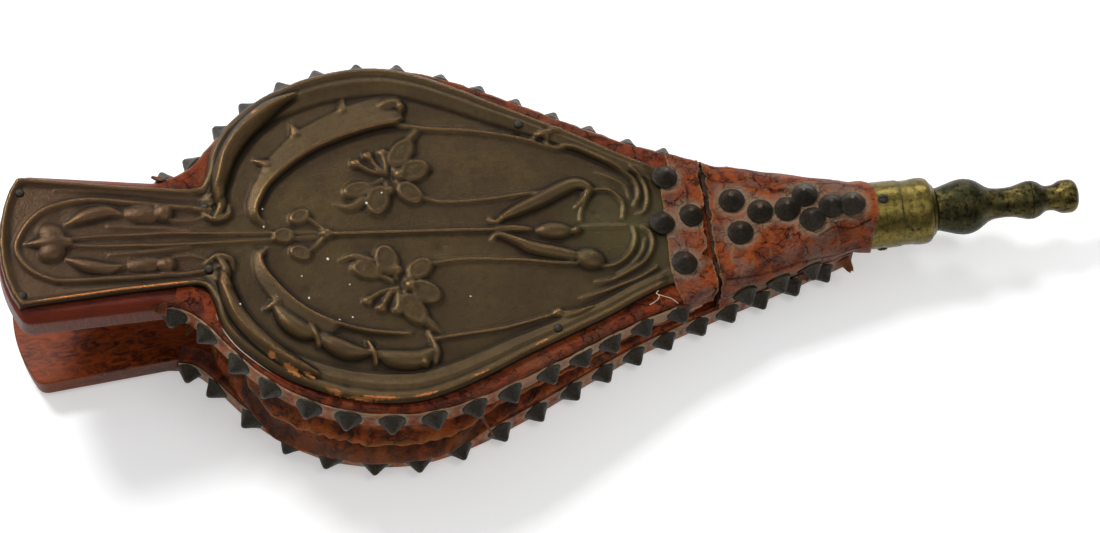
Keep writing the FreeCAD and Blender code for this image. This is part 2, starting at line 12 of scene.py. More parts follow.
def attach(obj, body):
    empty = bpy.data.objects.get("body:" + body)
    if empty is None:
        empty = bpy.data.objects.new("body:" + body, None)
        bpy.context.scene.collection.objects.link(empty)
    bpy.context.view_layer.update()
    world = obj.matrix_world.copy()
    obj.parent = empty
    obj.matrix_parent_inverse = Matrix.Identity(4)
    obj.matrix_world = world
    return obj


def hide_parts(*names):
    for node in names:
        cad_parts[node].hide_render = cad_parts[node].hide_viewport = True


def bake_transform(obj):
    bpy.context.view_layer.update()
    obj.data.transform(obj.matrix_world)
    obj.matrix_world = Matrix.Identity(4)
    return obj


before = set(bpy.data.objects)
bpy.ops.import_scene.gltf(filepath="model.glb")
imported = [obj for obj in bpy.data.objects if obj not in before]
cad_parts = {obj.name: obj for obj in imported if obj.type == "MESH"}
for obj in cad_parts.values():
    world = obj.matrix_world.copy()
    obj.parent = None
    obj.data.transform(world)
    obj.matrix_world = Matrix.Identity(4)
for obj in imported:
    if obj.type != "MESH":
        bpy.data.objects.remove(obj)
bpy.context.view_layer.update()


def numbers(text):
    return np.array(text.replace(",", " ").split(), float)


def table(text, columns=2):
    """Rows of numbers written as text; the commas are only for reading."""
    return numbers(text).reshape(-1, columns)


MM = 0.001
OPENING = math.radians(8.26)
COS_OPEN, SIN_OPEN = math.cos(OPENING), math.sin(OPENING)
TOP_ORIGIN = np.array([0, 0, 25.8])     # the top board's origin
AXIS_Z = 26.0                           # height of the ferrule's and nozzle's axis
COPPER_Z = 12.0                         # flat copper field, in the top board's frame
COPPER_FLOOR = 10.1                     # lowest height of the copper's turned edge
FAR_NEAR = (1, -1)                      # signs of Y

# Half outlines, from the nose end to the handle: x, half width.
TOP_HALF = table("""
13.5 34.5, 0 40.0, -18 46.3, -35 53.8, -51 61.4, -68 69.4, -86 77.7, -103 84.4, -122 89.3,
-140 90.3, -160 87.6, -177 81.5, -193.5 71.0, -206.4 58.8, -218 45.0, -227 36.0, -236 32.5""")
BOTTOM_HALF = table("""
90.0 10.0, 73 15.9, 57 21.4, 40 27.1, 19 34.0, 0 40.8, -18 47.4, -35 55.0, -51 62.8, -68 71.2,
-86 79.4, -103 86.2, -122 91.2, -140 92.0, -160 88.8, -177 82.0, -193.5 71.3, -206.4 59.0,
-218 45.0, -227 36.0, -236 32.5""")
FACING_HALF = table("""
-1.0 29.9, -10.4 33.8, -22.3 39.4, -36.6 47.0, -50.8 53.6, -65.1 60.1, -79 66.4, -90 72.0,
-100 76.7, -110 81.0, -120 84.4, -129.1 86.4, -140.2 86.9, -150.3 85.8, -165.4 82.3,
-180.5 76.0, -190.6 70.3, -200.7 62.2, -208.8 53.6, -214.6 43.5, -217.2 33.0, -220.2 25.6,
-224.5 23.6""")
FACING_END = table("-303.2 31.8, -306.6 25.6, -309.2 18.2, -310.9 9.8, -311.6 0.0")
GRIP_HALF = table("-224.5 23.6, -231 24.0, -257.3 26.2, -303.2 31.8, -320 33.8")
HANDLE_END, CORNER_X, CORNER_HALF = -313.0, -301.5, 38.5
CORNER_RADIUS = 4.0

# Stations of the studs along the edges: x.
TOP_NEAR = numbers("""-234.8 -219.7 -206.4 -193.5 -176.9 -160.1 -140.6 -121.7 -102.9 -86.2
-67.4 -51.3 -36.6 -20.1 -1.5""")
TOP_FAR = numbers("""-235.5 -221.0 -206.4 -193.6 -177.0 -160.4 -141.4 -122.8 -102.8 -85.3
-68.2 -50.8 -33.6 -15.3 1.4""")
BOTTOM_X = numbers("""-231.0 -218.0 -203.2 -186.0 -169.0 -148.6 -128.9 -109.7 -90.5 -72.5
-54.9 -39.0 -23.2 -7.5 9.2 24.5 40.6 57.0 73.0""")


# ------------------------------------------------------------- frames, noise and curves
def turned_up(direction):
    """Direction in the top board's frame, turned into the row frame."""
    x, y, z = np.moveaxis(np.asarray(direction, float), -1, 0)
    return np.stack([x * COS_OPEN + z * SIN_OPEN, y, -x * SIN_OPEN + z * COS_OPEN], -1)


def tilted(points):
    """Points from the top board's frame to the row frame."""
    return turned_up(points) + TOP_ORIGIN


def corner_hash(cell, seed):
    x, y, z = cell[..., 0], cell[..., 1], cell[..., 2]
    key = (x * 73856093) ^ (y * 19349663) ^ (z * 83492791) ^ (seed * 40503 + 977)
    key = key & 0x3fffffff
    key = ((key >> 11) ^ key) * 7919 & 0x3fffffff
    key = ((key >> 7) ^ key) * 104729 & 0x3fffffff
    key = (key >> 9) ^ key
    return (key & 0xfffff) / 524287.5 - 1.0


def value_noise(points, seed):
    cell = np.floor(points).astype(np.int64)
    part = points - cell
    part = part * part * (3 - 2 * part)
    total = 0.0
    for corner in np.ndindex(2, 2, 2):
        share = np.where(corner, part, 1 - part)
        weight = share[..., 0] * share[..., 1] * share[..., 2]
        total = total + weight * corner_hash(cell + corner, seed)
    return total


def noise3(points, octaves, seed):
    """Fractal noise of 3D points, within -1 to 1."""
    total, gain, gains = 0.0, 1.0, 0.0
    for octave in range(octaves):
        shifted = points * (2.03 ** octave) + 17.3 * octave
        total = total + gain * value_noise(shifted, seed + octave)
        gains += gain
        gain *= 0.5
    return total / gains


def noise1(x, seed, octaves=2):
    return noise3(np.stack([x, x * 0 + 0.37 * seed + 0.5, x * 0 + 0.5], -1), octaves, seed)


def smooth(low, high, x):
    """Smooth step from 0 at low to 1 at high."""
    t = np.clip((x - low) / (high - low), 0, 1)
    return t * t * (3 - 2 * t)


def bell(x, centre, width):
    return np.exp(-((x - centre) / width) ** 2)


def spline(points, steps):
    """Catmull-Rom curve through the rows of points, with so many steps per span."""
    points = np.asarray(points, float)
    padded = np.vstack([points[:1], points, points[-1:]])
    rows = []
    for p0, p1, p2, p3 in zip(padded, padded[1:], padded[2:], padded[3:]):
        for step in range(steps):
            t = step / steps
            rows.append(0.5 * (2 * p1 + (p2 - p0) * t + (2 * p0 - 5 * p1 + 4 * p2 - p3) * t * t
                               + (3 * p1 - p0 - 3 * p2 + p3) * t ** 3))
    rows.append(points[-1])
    return np.array(rows)


def resample(path, step=None, count=None):
    length = np.r_[0, np.cumsum(np.linalg.norm(np.diff(path, axis=0), axis=1))]
    if count is None:
        count = max(int(length[-1] / step), 2) + 1
    stations = np.linspace(0, length[-1], count)
    return np.stack([np.interp(stations, length, column) for column in path.T], -1)


def outward(path, closed=False):
    """Right-hand normals of a flat path; outward where it runs towards -X on the +Y side."""
    if closed:
        along = np.roll(path, -1, 0) - np.roll(path, 1, 0)
    else:
        along = np.gradient(path, axis=0)
    along = along / np.maximum(np.linalg.norm(along, axis=1, keepdims=True), 1e-9)
    return np.stack([along[:, 1], -along[:, 0]], -1)


def half_width(outline, x):
    return np.interp(-x, -outline[:, 0], outline[:, 1])


def axes_about(normal):
    """Right-handed axes whose third is the normal."""
    normal = np.asarray(normal, float) / np.linalg.norm(normal)
    helper = np.array([0, 0, 1.0]) if abs(normal[2]) < 0.9 else np.array([1.0, 0, 0])
    side = np.cross(helper, normal)
    side /= np.linalg.norm(side)
    return side, np.cross(normal, side), normal


def around_axis(x, radius, angle):
    """Grid of rings about the ferrule's axis."""
    x, radius, angle = np.broadcast_arrays(x, radius, angle)
    return np.stack([x, radius * np.cos(angle), AXIS_Z + radius * np.sin(angle)], -1)


# ------------------------------------------------------------------------------- meshes
def make(name, verts, faces, attrs, mat, body=None, replaces=(), slot=None):
    mesh = bpy.data.meshes.new(name)
    mesh.from_pydata((np.reshape(verts, (-1, 3)) * MM).tolist(), [], faces)
    mesh.update()
    mesh.polygons.foreach_set("use_smooth", np.ones(len(mesh.polygons), bool))
    for key, values in attrs.items():
        attribute = mesh.attributes.new(key, "FLOAT", "POINT")
        attribute.data.foreach_set("value", np.asarray(values, np.float32).ravel())
    thing = bpy.data.objects.new(name, mesh)
    bpy.context.scene.collection.objects.link(thing)
    mesh.materials.append(mat)
    if body:
        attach(thing, body)
    if replaces:
        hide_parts(*replaces)
    return thing


def grid_faces(rows, columns, wrap_rows=False, wrap_columns=False, flip=False):
    row, column = np.meshgrid(np.arange(rows if wrap_rows else rows - 1),
                              np.arange(columns if wrap_columns else columns - 1),
                              indexing="ij")
    next_row, next_column = (row + 1) % rows, (column + 1) % columns
    quads = np.stack([row * columns + column, next_row * columns + column,
                      next_row * columns + next_column, row * columns + next_column], -1)
    quads = quads.reshape(-1, 4)
    return quads[:, ::-1] if flip else quads


class Parts:
    """Collects grids of points into one object."""

    def __init__(self):
        self.verts, self.faces, self.attrs, self.count = [], [], {}, 0

    def add(self, grid, attrs, wrap=False, flip=False):
        shape = grid.shape[:2]
        faces = grid_faces(*shape, wrap_columns=wrap, flip=flip) + self.count
        self.faces += faces.tolist()
        self.verts.append(grid.reshape(-1, 3))
        for key, values in attrs.items():
            self.attrs.setdefault(key, []).append(np.broadcast_to(values, shape).ravel())
        self.count += shape[0] * shape[1]
        return self

    def build(self, name, mat, **options):
        attrs = {key: np.concatenate(values) for key, values in self.attrs.items()}
        return make(name, np.vstack(self.verts), self.faces, attrs, mat, **options)


def sheet(name, grid, attrs, mat, wrap=False, flip=False, **options):
    return Parts().add(grid, attrs, wrap, flip).build(name, mat, **options)


# ---------------------------------------------------------------------------- materials
def connect(tree, socket, value):
    if isinstance(value, bpy.types.NodeSocket):
        tree.links.new(value, socket)
    elif socket.type == "RGBA":
        socket.default_value = (*value, 1.0)
    else:
        socket.default_value = value


def add_node(tree, kind, inputs=None, **settings):
    node = tree.nodes.new("ShaderNode" + kind)
    for key, value in settings.items():
        setattr(node, key, value)
    for key, value in (inputs or {}).items():
        connect(tree, node.inputs[key], value)
    return node


class Shader:
    """A material in the making. Texture coordinates are the object's, in millimetres."""

    def __init__(self, name):
        self.material = bpy.data.materials.new(name)
        self.material.use_nodes = True
        self.tree = self.material.node_tree
        self.tree.nodes.clear()
        self.surface = self.node("BsdfPrincipled")
        self.node("OutputMaterial", {0: self.surface.outputs[0]})
        self.place = self.node("TexCoord").outputs["Object"]
        self.place = self.mapping((1 / MM,) * 3)

    def node(self, kind, inputs=None, **settings):
        return add_node(self.tree, kind, inputs, **settings)

    def mapping(self, scale, turn=(0, 0, 0), vector=None):
        inputs = {"Scale": scale, "Rotation": turn, "Vector": vector or self.place}
        return self.node("Mapping", inputs).outputs[0]

    def noise(self, scale, detail=4, rough=0.6, vector=None, distortion=0.0, output="Fac"):
        inputs = {"Scale": scale, "Detail": detail, "Roughness": rough,
                  "Distortion": distortion, "Vector": vector or self.place}
        return self.node("TexNoise", inputs).outputs[output]

    def cells(self, scale, vector, feature="DISTANCE_TO_EDGE"):
        inputs = {"Scale": scale, "Vector": vector}
        return self.node("TexVoronoi", inputs, feature=feature).outputs["Distance"]

    def warped(self, amount, scale):
        """Coordinates pushed about by noise."""
        push = self.noise(scale, detail=2, rough=0.5, output="Color")
        inputs = {0: push, 1: (amount,) * 3, 2: self.place}
        return self.node("VectorMath", inputs, operation="MULTIPLY_ADD").outputs[0]

    def attr(self, name):
        return self.node("Attribute", attribute_name=name).outputs["Fac"]

    def math(self, operation, first, second, clamp=False):
        return self.node("Math", {0: first, 1: second}, operation=operation,
                         use_clamp=clamp).outputs[0]

    def times(self, first, second, clamp=False):
        return self.math("MULTIPLY", first, second, clamp)

    def plus(self, first, second):
        return self.math("ADD", first, second)

    def minus(self, first, second):
        return self.math("SUBTRACT", first, second)

    def step(self, value, low, high, bottom=0.0, top=1.0):
        """Smooth step from bottom, where value is low, to top, where it is high."""
        inputs = {"Value": value, "From Min": low, "From Max": high,
                  "To Min": bottom, "To Max": top}
        return self.node("MapRange", inputs, interpolation_type="SMOOTHSTEP").outputs[0]

    def mix(self, share, first, second, blend="MIX"):
        inputs = {0: share, 6: first, 7: second}      # 6 and 7 are the colour sockets
        return self.node("Mix", None, data_type="RGBA", blend_type=blend) if False else \
            self._mix(inputs, blend)

    def _mix(self, inputs, blend):
        return self.node("Mix", inputs, data_type="RGBA", blend_type=blend).outputs[2]

    def bump(self, height, distance, strength):
        inputs = {"Strength": strength, "Distance": distance, "Height": height}
        return self.node("Bump", inputs).outputs[0]

    def finish(self, color, rough, normal, metal=0.0, specular=0.5, gain=None):
        if gain:
            color = self.mix(1.0, color, gain, "MULTIPLY")
        for key, value in (("Base Color", color), ("Roughness", rough), ("Metallic", metal),
                           ("Normal", normal), ("Specular IOR Level", specular)):
            connect(self.tree, self.surface.inputs[key], value)
        return self.material


def rgb(*levels):
    """Linear colour from 0-255 sRGB levels."""
    return tuple(((level / 255 + 0.055) / 1.055) ** 2.4 if level > 10.3 else level / 255 / 12.92
                 for level in levels)


def scaled(color, gain):
    return tuple(min(1, level * gain) for level in color)


def copper_material():
    mat = Shader("copper_patina")
    cavity, wear = mat.attr("cav"), mat.attr("wear")
    mid = mat.noise(0.35)
    # brown patina, redder on the grip and greener at the nose end
    color = mat.mix(mat.step(mat.noise(0.035), 0.35, 0.65), rgb(79, 66, 50), rgb(90, 76, 54))
    color = mat.mix(mat.times(mat.attr("grip"), 0.8), color, rgb(86, 66, 54))
    color = mat.mix(mat.step(mid, 0.45, 0.7, top=0.45), color, rgb(64, 52, 41))
    green = mat.times(mat.attr("green"), mat.step(mid, 0.3, 0.6), clamp=True)
    color = mat.mix(mat.times(green, 0.6), color, rgb(86, 88, 62))
    # dark hollows; lighter ridges, partly rubbed metal and partly a painted highlight
    color = mat.mix(mat.step(cavity, -0.03, -0.36, top=0.85), color, rgb(27, 21, 15))
    # ridge: the raised parts, given a painted highlight together with rubbed metal, and a
    # smoother finish
    ridge = mat.times(mat.step(cavity, 0.12, 0.60), mat.step(mid, 0.30, 0.62, bottom=0.25))
    color = mat.mix(mat.times(ridge, 0.42), color, rgb(152, 118, 80))
    wide = mat.step(mat.attr("wide"), -0.1, -0.7, top=0.35)
    color = mat.mix(wide, color, rgb(48, 38, 28))
    # bare metal where the sheet is rubbed
    speckle = mat.times(mat.minus(mat.noise(0.7, rough=0.7), 0.5), 1.5)
    bare = mat.times(mat.step(mat.plus(wear, speckle), 0.52, 0.74), mat.step(wear, 0.05, 0.35))
    color = mat.mix(bare, color, rgb(206, 136, 86))
    rough = mat.plus(mat.times(mid, 0.20), 0.26)
    rough = mat.minus(rough, mat.times(ridge, 0.15))
    rough = mat.minus(rough, mat.times(bare, 0.12))
    height = mat.plus(mat.times(mat.noise(3.0, detail=3), 0.6),
                      mat.times(mat.noise(0.9, detail=3), 1.0))
    return mat.finish(color, rough, mat.bump(height, distance=0.00022, strength=0.75),
                      metal=0.66, specular=0.20, gain=(0.68, 0.62, 0.49))


def leather_material(name, base, deep, pale, halo, paleness, gloss, cracked, gain):
    """halo is the colour round the studs; paleness and cracked are amounts; gloss is the
    middle of the roughness."""
    mat = Shader(name)
    blot = mat.noise(0.11, distortion=0.6)
    mid = mat.noise(0.30, detail=5, rough=0.65, distortion=0.4)
    fine = mat.noise(2.2, rough=0.65)
    streak = mat.noise(0.6, vector=mat.mapping((0.20, 1.0, 1.6)))
    # blotched base with dark streaks and pale patches
    color = mat.mix(mat.step(blot, 0.42, 0.58), base, deep)
    color = mat.mix(mat.step(mid, 0.42, 0.70, top=0.55), color, scaled(base, 1.18))
    color = mat.mix(mat.step(streak, 0.5, 0.72, top=0.5), color, scaled(deep, 0.6))
    patch = mat.step(mat.noise(0.06, detail=5, rough=0.65, distortion=0.8), 0.50, 0.60)
    color = mat.mix(mat.times(patch, paleness), color, pale)
    speckle = mat.step(fine, 0.2, 0.6, bottom=0.4, top=0.9)
    # light pales the leather: pale patches, and on the gusset a painted highlight on its folds
    # and bulge
    color = mat.mix(mat.times(mat.attr("light"), speckle, clamp=True), color, pale)
    # two sizes of cracks, with the modelled ones, which on the gusset also hold painted shade in
    # its folds
    warped = mat.warped(3.4, 0.30)
    large = mat.cells(0.17, mat.mapping((0.55, 1.0, 1.3), vector=warped))
    large = mat.times(mat.step(large, 0.034, 0.0), mat.step(blot, 0.42, 0.56))
    small = mat.cells(0.7, mat.mapping((0.7, 1.0, 1.2), vector=warped))
    small = mat.times(mat.step(small, 0.05, 0.0),
                      mat.step(mat.noise(0.045), 0.55, 0.68, top=0.5))
    cracks = mat.math("MAXIMUM", mat.times(mat.math("MAXIMUM", large, small), cracked),
                      mat.attr("crack_and_fold_shade"))
    color = mat.mix(mat.times(cracks, 0.88), color, rgb(34, 15, 9))
    # rings round the studs and worn edges
    dusty = mat.step(mat.noise(0.5, detail=3), 0.25, 0.62, bottom=0.45)
    ring = mat.times(mat.attr("halo"), dusty, clamp=True)
    color = mat.mix(mat.times(ring, 0.85), color, halo)
    worn = mat.times(mat.attr("edge"), mat.step(mid, 0.3, 0.6, bottom=0.35, top=0.85))
    color = mat.mix(worn, color, rgb(182, 146, 118))
    grain = mat.cells(1.3, mat.warped(0.8, 1.0), feature="F1")
    height = mat.plus(mat.times(grain, -0.5), mat.times(fine, 0.8))
    height = mat.minus(height, mat.times(cracks, 2.0))
    height = mat.plus(height, mat.times(mid, 2.2))
    rough = mat.step(mid, 0.2, 0.8, bottom=gloss - 0.08, top=gloss + 0.2)
    return mat.finish(color, rough, mat.bump(height, distance=0.0007, strength=0.9),
                      specular=0.18, gain=gain)


def iron_material():
    mat = Shader("stud_iron")
    height, shade = mat.attr("hgt"), mat.attr("sid")
    mottle = mat.noise(0.8, rough=0.65)
    fine = mat.noise(3.5, detail=3)
    color = mat.mix(mat.step(mottle, 0.35, 0.68), rgb(74, 70, 60), rgb(48, 46, 42))
    color = mat.mix(mat.times(mat.step(fine, 0.55, 0.75), 0.45), color, rgb(92, 80, 62))
    # rubbed tips, more on some studs than on others; a painted highlight on the very tip; a
    # paler ring round the foot
    tip = mat.plus(height, mat.times(mat.minus(mottle, 0.5), 0.5))
    tip = mat.times(mat.step(tip, 0.80, 1.0), mat.step(shade, 0.35, 0.9, bottom=0.1))
    color = mat.mix(mat.times(tip, 0.7), color, rgb(138, 112, 106))
    # painted highlight: a pale dot on the blunted tip
    color = mat.mix(mat.times(mat.step(height, 0.93, 0.985), 0.55), color, rgb(190, 180, 160))
    color = mat.mix(mat.times(mat.step(height, 0.10, 0.0), 0.45), color, rgb(112, 106, 92))
    rough = mat.step(mottle, 0.2, 0.8, bottom=0.30, top=0.52)
    bumps = mat.plus(mat.times(fine, 0.7), mat.times(mottle, 1.4))
    return mat.finish(color, rough, mat.bump(bumps, distance=0.0003, strength=0.8),
                      metal=0.50, specular=0.35, gain=(0.54, 0.47, 0.40))


def brass_material(name, tone, dark, green, gain, mottle):
    mat = Shader(name)
    patina, spots = mat.attr("patina"), mat.noise(1.6, rough=0.7)
    mid = mat.noise(0.35)
    blotch = mat.noise(0.42, detail=5, rough=0.7, distortion=0.5)
    rings = mat.noise(1.2, detail=3, vector=mat.mapping((2.2, 0.12, 0.12)))
    color = mat.mix(mat.step(mid, 0.35, 0.65), tone, scaled(tone, 0.62))
    tarnish = mat.times(patina, mat.step(mid, 0.15, 0.55, bottom=0.6), clamp=True)
    color = mat.mix(tarnish, color, green)
    color = mat.mix(mat.step(blotch, 0.50, 0.60, top=mottle), color, scaled(dark, 0.45))
    color = mat.mix(mat.times(mat.step(spots, 0.60, 0.68), 0.85), color, scaled(dark, 0.6))
    color = mat.mix(mat.times(mat.step(rings, 0.56, 0.7), 0.3), color, dark)
    rough = mat.plus(mat.times(spots, 0.24), 0.2)
    rough = mat.plus(rough, mat.times(patina, 0.1))
    height = mat.plus(mat.times(spots, 0.5), mat.times(rings, 0.8))
    return mat.finish(color, rough, mat.bump(height, distance=0.00018, strength=0.7),
                      metal=0.88, specular=0.3, gain=gain)


def wood_material(name, red, dark, edge_grey, stretch=(0.035, 1.0, 1.0), gain=None):
    """stretch scales the grain's coordinates; edge_grey is how far the cut sides turn grey."""
    mat = Shader(name)
    rings = mat.noise(0.55, detail=5, rough=0.72, distortion=1.6,
                      vector=mat.mapping(stretch, turn=(0.12, 0.03, 0.05)))
    fine = mat.noise(3.2, detail=3, vector=mat.mapping((0.05, 1.0, 1.0)))
    big = mat.noise(0.03, detail=3, rough=0.5)
    color = mat.mix(mat.step(rings, 0.36, 0.64), red, dark)
    color = mat.mix(mat.step(fine, 0.55, 0.75, top=0.5), color, scaled(dark, 0.45))
    color = mat.mix(mat.step(big, 0.45, 0.65, top=0.4), color, scaled(red, 1.5))
    color = mat.mix(mat.times(mat.attr("bevel"), 0.55), color, rgb(112, 50, 32))
    # grey, lined sides
    lines = mat.noise(1.6, detail=3, rough=0.7, vector=mat.mapping((1.0, 1.0, 0.08)))
    grey = mat.mix(mat.step(lines, 0.38, 0.62), rgb(124, 98, 88), rgb(88, 60, 50))
    weathered = mat.step(mat.noise(0.4), 0.2, 0.7, bottom=edge_grey * 0.7, top=edge_grey)
    color = mat.mix(mat.times(mat.attr("side"), weathered, clamp=True), color, grey)
    scratch = mat.noise(1.1, rough=0.75,
                        vector=mat.mapping((0.9, 0.9, 0.06), turn=(0, 0.5, 0)))
    color = mat.mix(mat.step(scratch, 0.66, 0.74, top=0.4), color, rgb(190, 165, 150))
    height = mat.plus(mat.times(fine, 0.8), mat.times(rings, 0.6))
    height = mat.minus(height, mat.step(scratch, 0.66, 0.74, top=0.7))
    rough = mat.step(big, 0.3, 0.7, bottom=0.34, top=0.5)
    mat.surface.inputs["Coat Weight"].default_value = 0.02
    mat.surface.inputs["Coat Roughness"].default_value = 0.3
    return mat.finish(color, rough, mat.bump(height, distance=0.00018, strength=0.7),
                      specular=0.16, gain=gain)


COPPER = copper_material()
NOSE_LEATHER = leather_material(
    "nose_leather_old", base=rgb(178, 76, 22), deep=rgb(112, 38, 11), pale=rgb(150, 104, 112),
    halo=rgb(186, 152, 156), paleness=0.70, gloss=0.34, cracked=0.95, gain=(0.55, 0.62, 0.36))
LEATHER = leather_material(
    "old_leather", base=rgb(166, 70, 26), deep=rgb(100, 36, 14), pale=rgb(162, 104, 84),
    halo=rgb(176, 146, 140), paleness=0.30, gloss=0.38, cracked=0.8, gain=(0.50, 0.48, 0.30))
BAND_LEATHER = leather_material(
    "band_leather", base=rgb(166, 84, 38), deep=rgb(108, 44, 18), pale=rgb(164, 130, 104),
    halo=rgb(168, 164, 148), paleness=0.5, gloss=0.42, cracked=0.4, gain=(0.98, 1.0, 0.88))
GUSSET = leather_material(
    "gusset_leather", base=rgb(166, 70, 22), deep=rgb(70, 24, 9), pale=rgb(176, 104, 50),
    halo=rgb(120, 80, 60), paleness=0.25, gloss=0.36, cracked=0.95, gain=(0.84, 0.92, 0.62))
IRON = iron_material()
FERRULE_BRASS = brass_material(
    "ferrule_brass", tone=rgb(138, 122, 70), dark=rgb(62, 52, 30), green=rgb(96, 92, 56),
    gain=(0.76, 0.75, 0.58), mottle=0.5)
NOZZLE_BRASS = brass_material(
    "nozzle_brass", tone=rgb(150, 128, 78), dark=rgb(60, 50, 32), green=rgb(62, 62, 44),
    gain=(0.60, 0.62, 0.48), mottle=0.95)
WOOD = wood_material("board_wood", red=rgb(104, 48, 30), dark=rgb(60, 26, 18), edge_grey=0.5,
                     gain=(0.84, 0.55, 0.36))
INNER_WOOD = wood_material("inner_wood", red=rgb(166, 92, 30), dark=rgb(58, 24, 10),
                           edge_grey=0.38, stretch=(0.16, 0.42, 0.6), gain=(0.52, 0.31, 0.11))
NOSE_WOOD = wood_material("nose_wood", red=rgb(62, 30, 16), dark=rgb(30, 15, 10),
                          edge_grey=0.2)

# -------------------------------------------------------------- copper relief: the tools
# The relief is a height field over the top board's frame.
CELL = 0.35
LINE_X = np.arange(-316.0, 4.0, CELL)
LINE_Y = np.arange(-90.0, 90.01, CELL)
FIELD_X, FIELD_Y = np.meshgrid(LINE_X, LINE_Y, indexing="ij")
ABS_Y = np.abs(FIELD_Y)
RAISED = np.zeros(FIELD_X.shape)
# The ornament is drawn in a slightly skewed frame; this projective matrix sets it straight.
STRAIGHTEN = np.array([[0.9911063, 0.0069951, -0.7108128], [-0.0015456, 1.0369226, -0.4432698],
                       [4.294935e-05, -3.957714e-05, 1.0]])


def to_plate(points):
    points = np.asarray(points, float)
    moved = np.c_[points, np.ones(len(points))] @ STRAIGHTEN.T
    return moved[:, :2] / moved[:, 2:]


def window(low, high, pad):
    """Slices of the field round a box."""
    slices = []
    for axis, line in enumerate((LINE_X, LINE_Y)):
        start = max(int((low[axis] - pad - line[0]) / CELL), 0)
        stop = min(int((high[axis] + pad - line[0]) / CELL) + 2, len(line))
        slices.append(slice(start, stop))
    return tuple(slices)


def to_segment(x, y, start, end):
    """Distance to a segment, and the share of its length where the nearest point lies."""
    run_x, run_y = end[0] - start[0], end[1] - start[1]
    square = max(run_x * run_x + run_y * run_y, 1e-9)
    t = np.clip(((x - start[0]) * run_x + (y - start[1]) * run_y) / square, 0, 1)
    return np.hypot(x - start[0] - t * run_x, y - start[1] - t * run_y), t


def stroke(path, half_widths, heights, soft=False):
    """Raised line; half widths and heights are spread evenly over the points."""
    path = to_plate(path)
    place = np.linspace(0, 1, len(path))
    sizes = [np.interp(place, np.linspace(0, 1, len(values)), values)
             for values in (half_widths, heights)]
    line = spline(np.c_[path, sizes[0], sizes[1]], 5)
    for start, end in zip(line[:-1], line[1:]):
        spot = window(np.minimum(start, end), np.maximum(start, end), max(start[2], end[2]))
        distance, t = to_segment(FIELD_X[spot], FIELD_Y[spot], start, end)
        width = start[2] + t * (end[2] - start[2])
        height = start[3] + t * (end[3] - start[3])
        inner = np.clip(1 - (distance / np.maximum(width, 1e-3)) ** 2, 0, 1)
        value = height * (inner ** 1.5 if soft else np.sqrt(inner))
        RAISED[spot] = np.maximum(RAISED[spot], value)


def strokes(text, sides=(1,), centre=(0, 0)):
    """One stroke per row: x y of its points | half widths | heights | soft, if it is."""
    for row in text.strip().splitlines():
        path, half_widths, heights, *soft = row.split("|")
        for side in sides:
            stroke(centre + table(path) * (1, side), numbers(half_widths), numbers(heights),
                   bool(soft))


def dome(x, y, radius_x, radius_y, angle, height, power, ring):
    """Elliptical boss, turned by degrees; with a ring, an outline round a dished middle."""
    x, y = to_plate([(x, y)])[0]
    spot = window((x, y), (x, y), max(radius_x, radius_y) * 1.15)
    off_x, off_y = FIELD_X[spot] - x, FIELD_Y[spot] - y
    cosine, sine = math.cos(math.radians(angle)), math.sin(math.radians(angle))
    square = (((off_x * cosine + off_y * sine) / radius_x) ** 2
              + ((-off_x * sine + off_y * cosine) / radius_y) ** 2)
    value = height * np.clip(1 - square, 0, 1) ** power
    if ring:
        radius = np.sqrt(square)
        value = (1 - ring) * value + ring * height * bell(radius, 0.80, 0.17) * (radius < 1.12)
        value = np.where(radius < 0.8, np.maximum(value, (1 - ring) * height * 0.6), value)
    RAISED[spot] = np.maximum(RAISED[spot], value)


def domes(text):
    """One dome per row: x y, two radii, angle, height, power, ring."""
    for row in table(text, 8):
        dome(*row)


def ribbon(outer, inner, outer_height, inner_height, power=1.6, count=420, across=70):
    """Raised leaf between two edges."""
    outer = resample(spline(to_plate(outer), 6), count=count)
    inner = resample(spline(to_plate(inner), 6), count=count)
    share = np.linspace(0, 1, across)
    weight = share[None, :, None]
    leaf = outer[:, None, :] * (1 - weight) + inner[:, None, :] * weight
    ends = np.minimum(np.linspace(0, 1, count), np.linspace(1, 0, count)) * 14
    ends = np.clip(ends, 0, 1)[:, None]
    profile = (outer_height * np.clip(share / 0.06, 0, 1) * (1 - share ** power)
               + inner_height * share ** power)
    value = profile[None, :] * ends ** 0.5
    row = np.clip(((leaf[..., 0] - LINE_X[0]) / CELL + 0.5).astype(int), 0, len(LINE_X) - 1)
    column = np.clip(((leaf[..., 1] - LINE_Y[0]) / CELL + 0.5).astype(int), 0, len(LINE_Y) - 1)
    np.maximum.at(RAISED, (row.ravel(), column.ravel()), value.ravel())


# ----------------------------------------------------------- copper relief: the drawing
# husks over the moulding
strokes("""
-214 9.5, -210.7 16, -211.4 26, -207.0 38, -200 48.5, -192 57, -183 64, -173 69.5 \
| 1.6 2.6 3.4 4.4 4.6 4.2 3.4 1.0 | 1.6 2.4 2.8 3.5 3.7 3.6 3.3 2.4
-219 12.5, -214 9.0, -208 11, -207 16 | 1.0 1.8 1.8 0.8 | 0.9 1.9 1.7 0.8
""", sides=FAR_NEAR)
domes("""
-211 -25  3.4 3.4  0  2.9 0.5 0
-212 25  2.6 2.6  0  2.6 0.5 0
""")

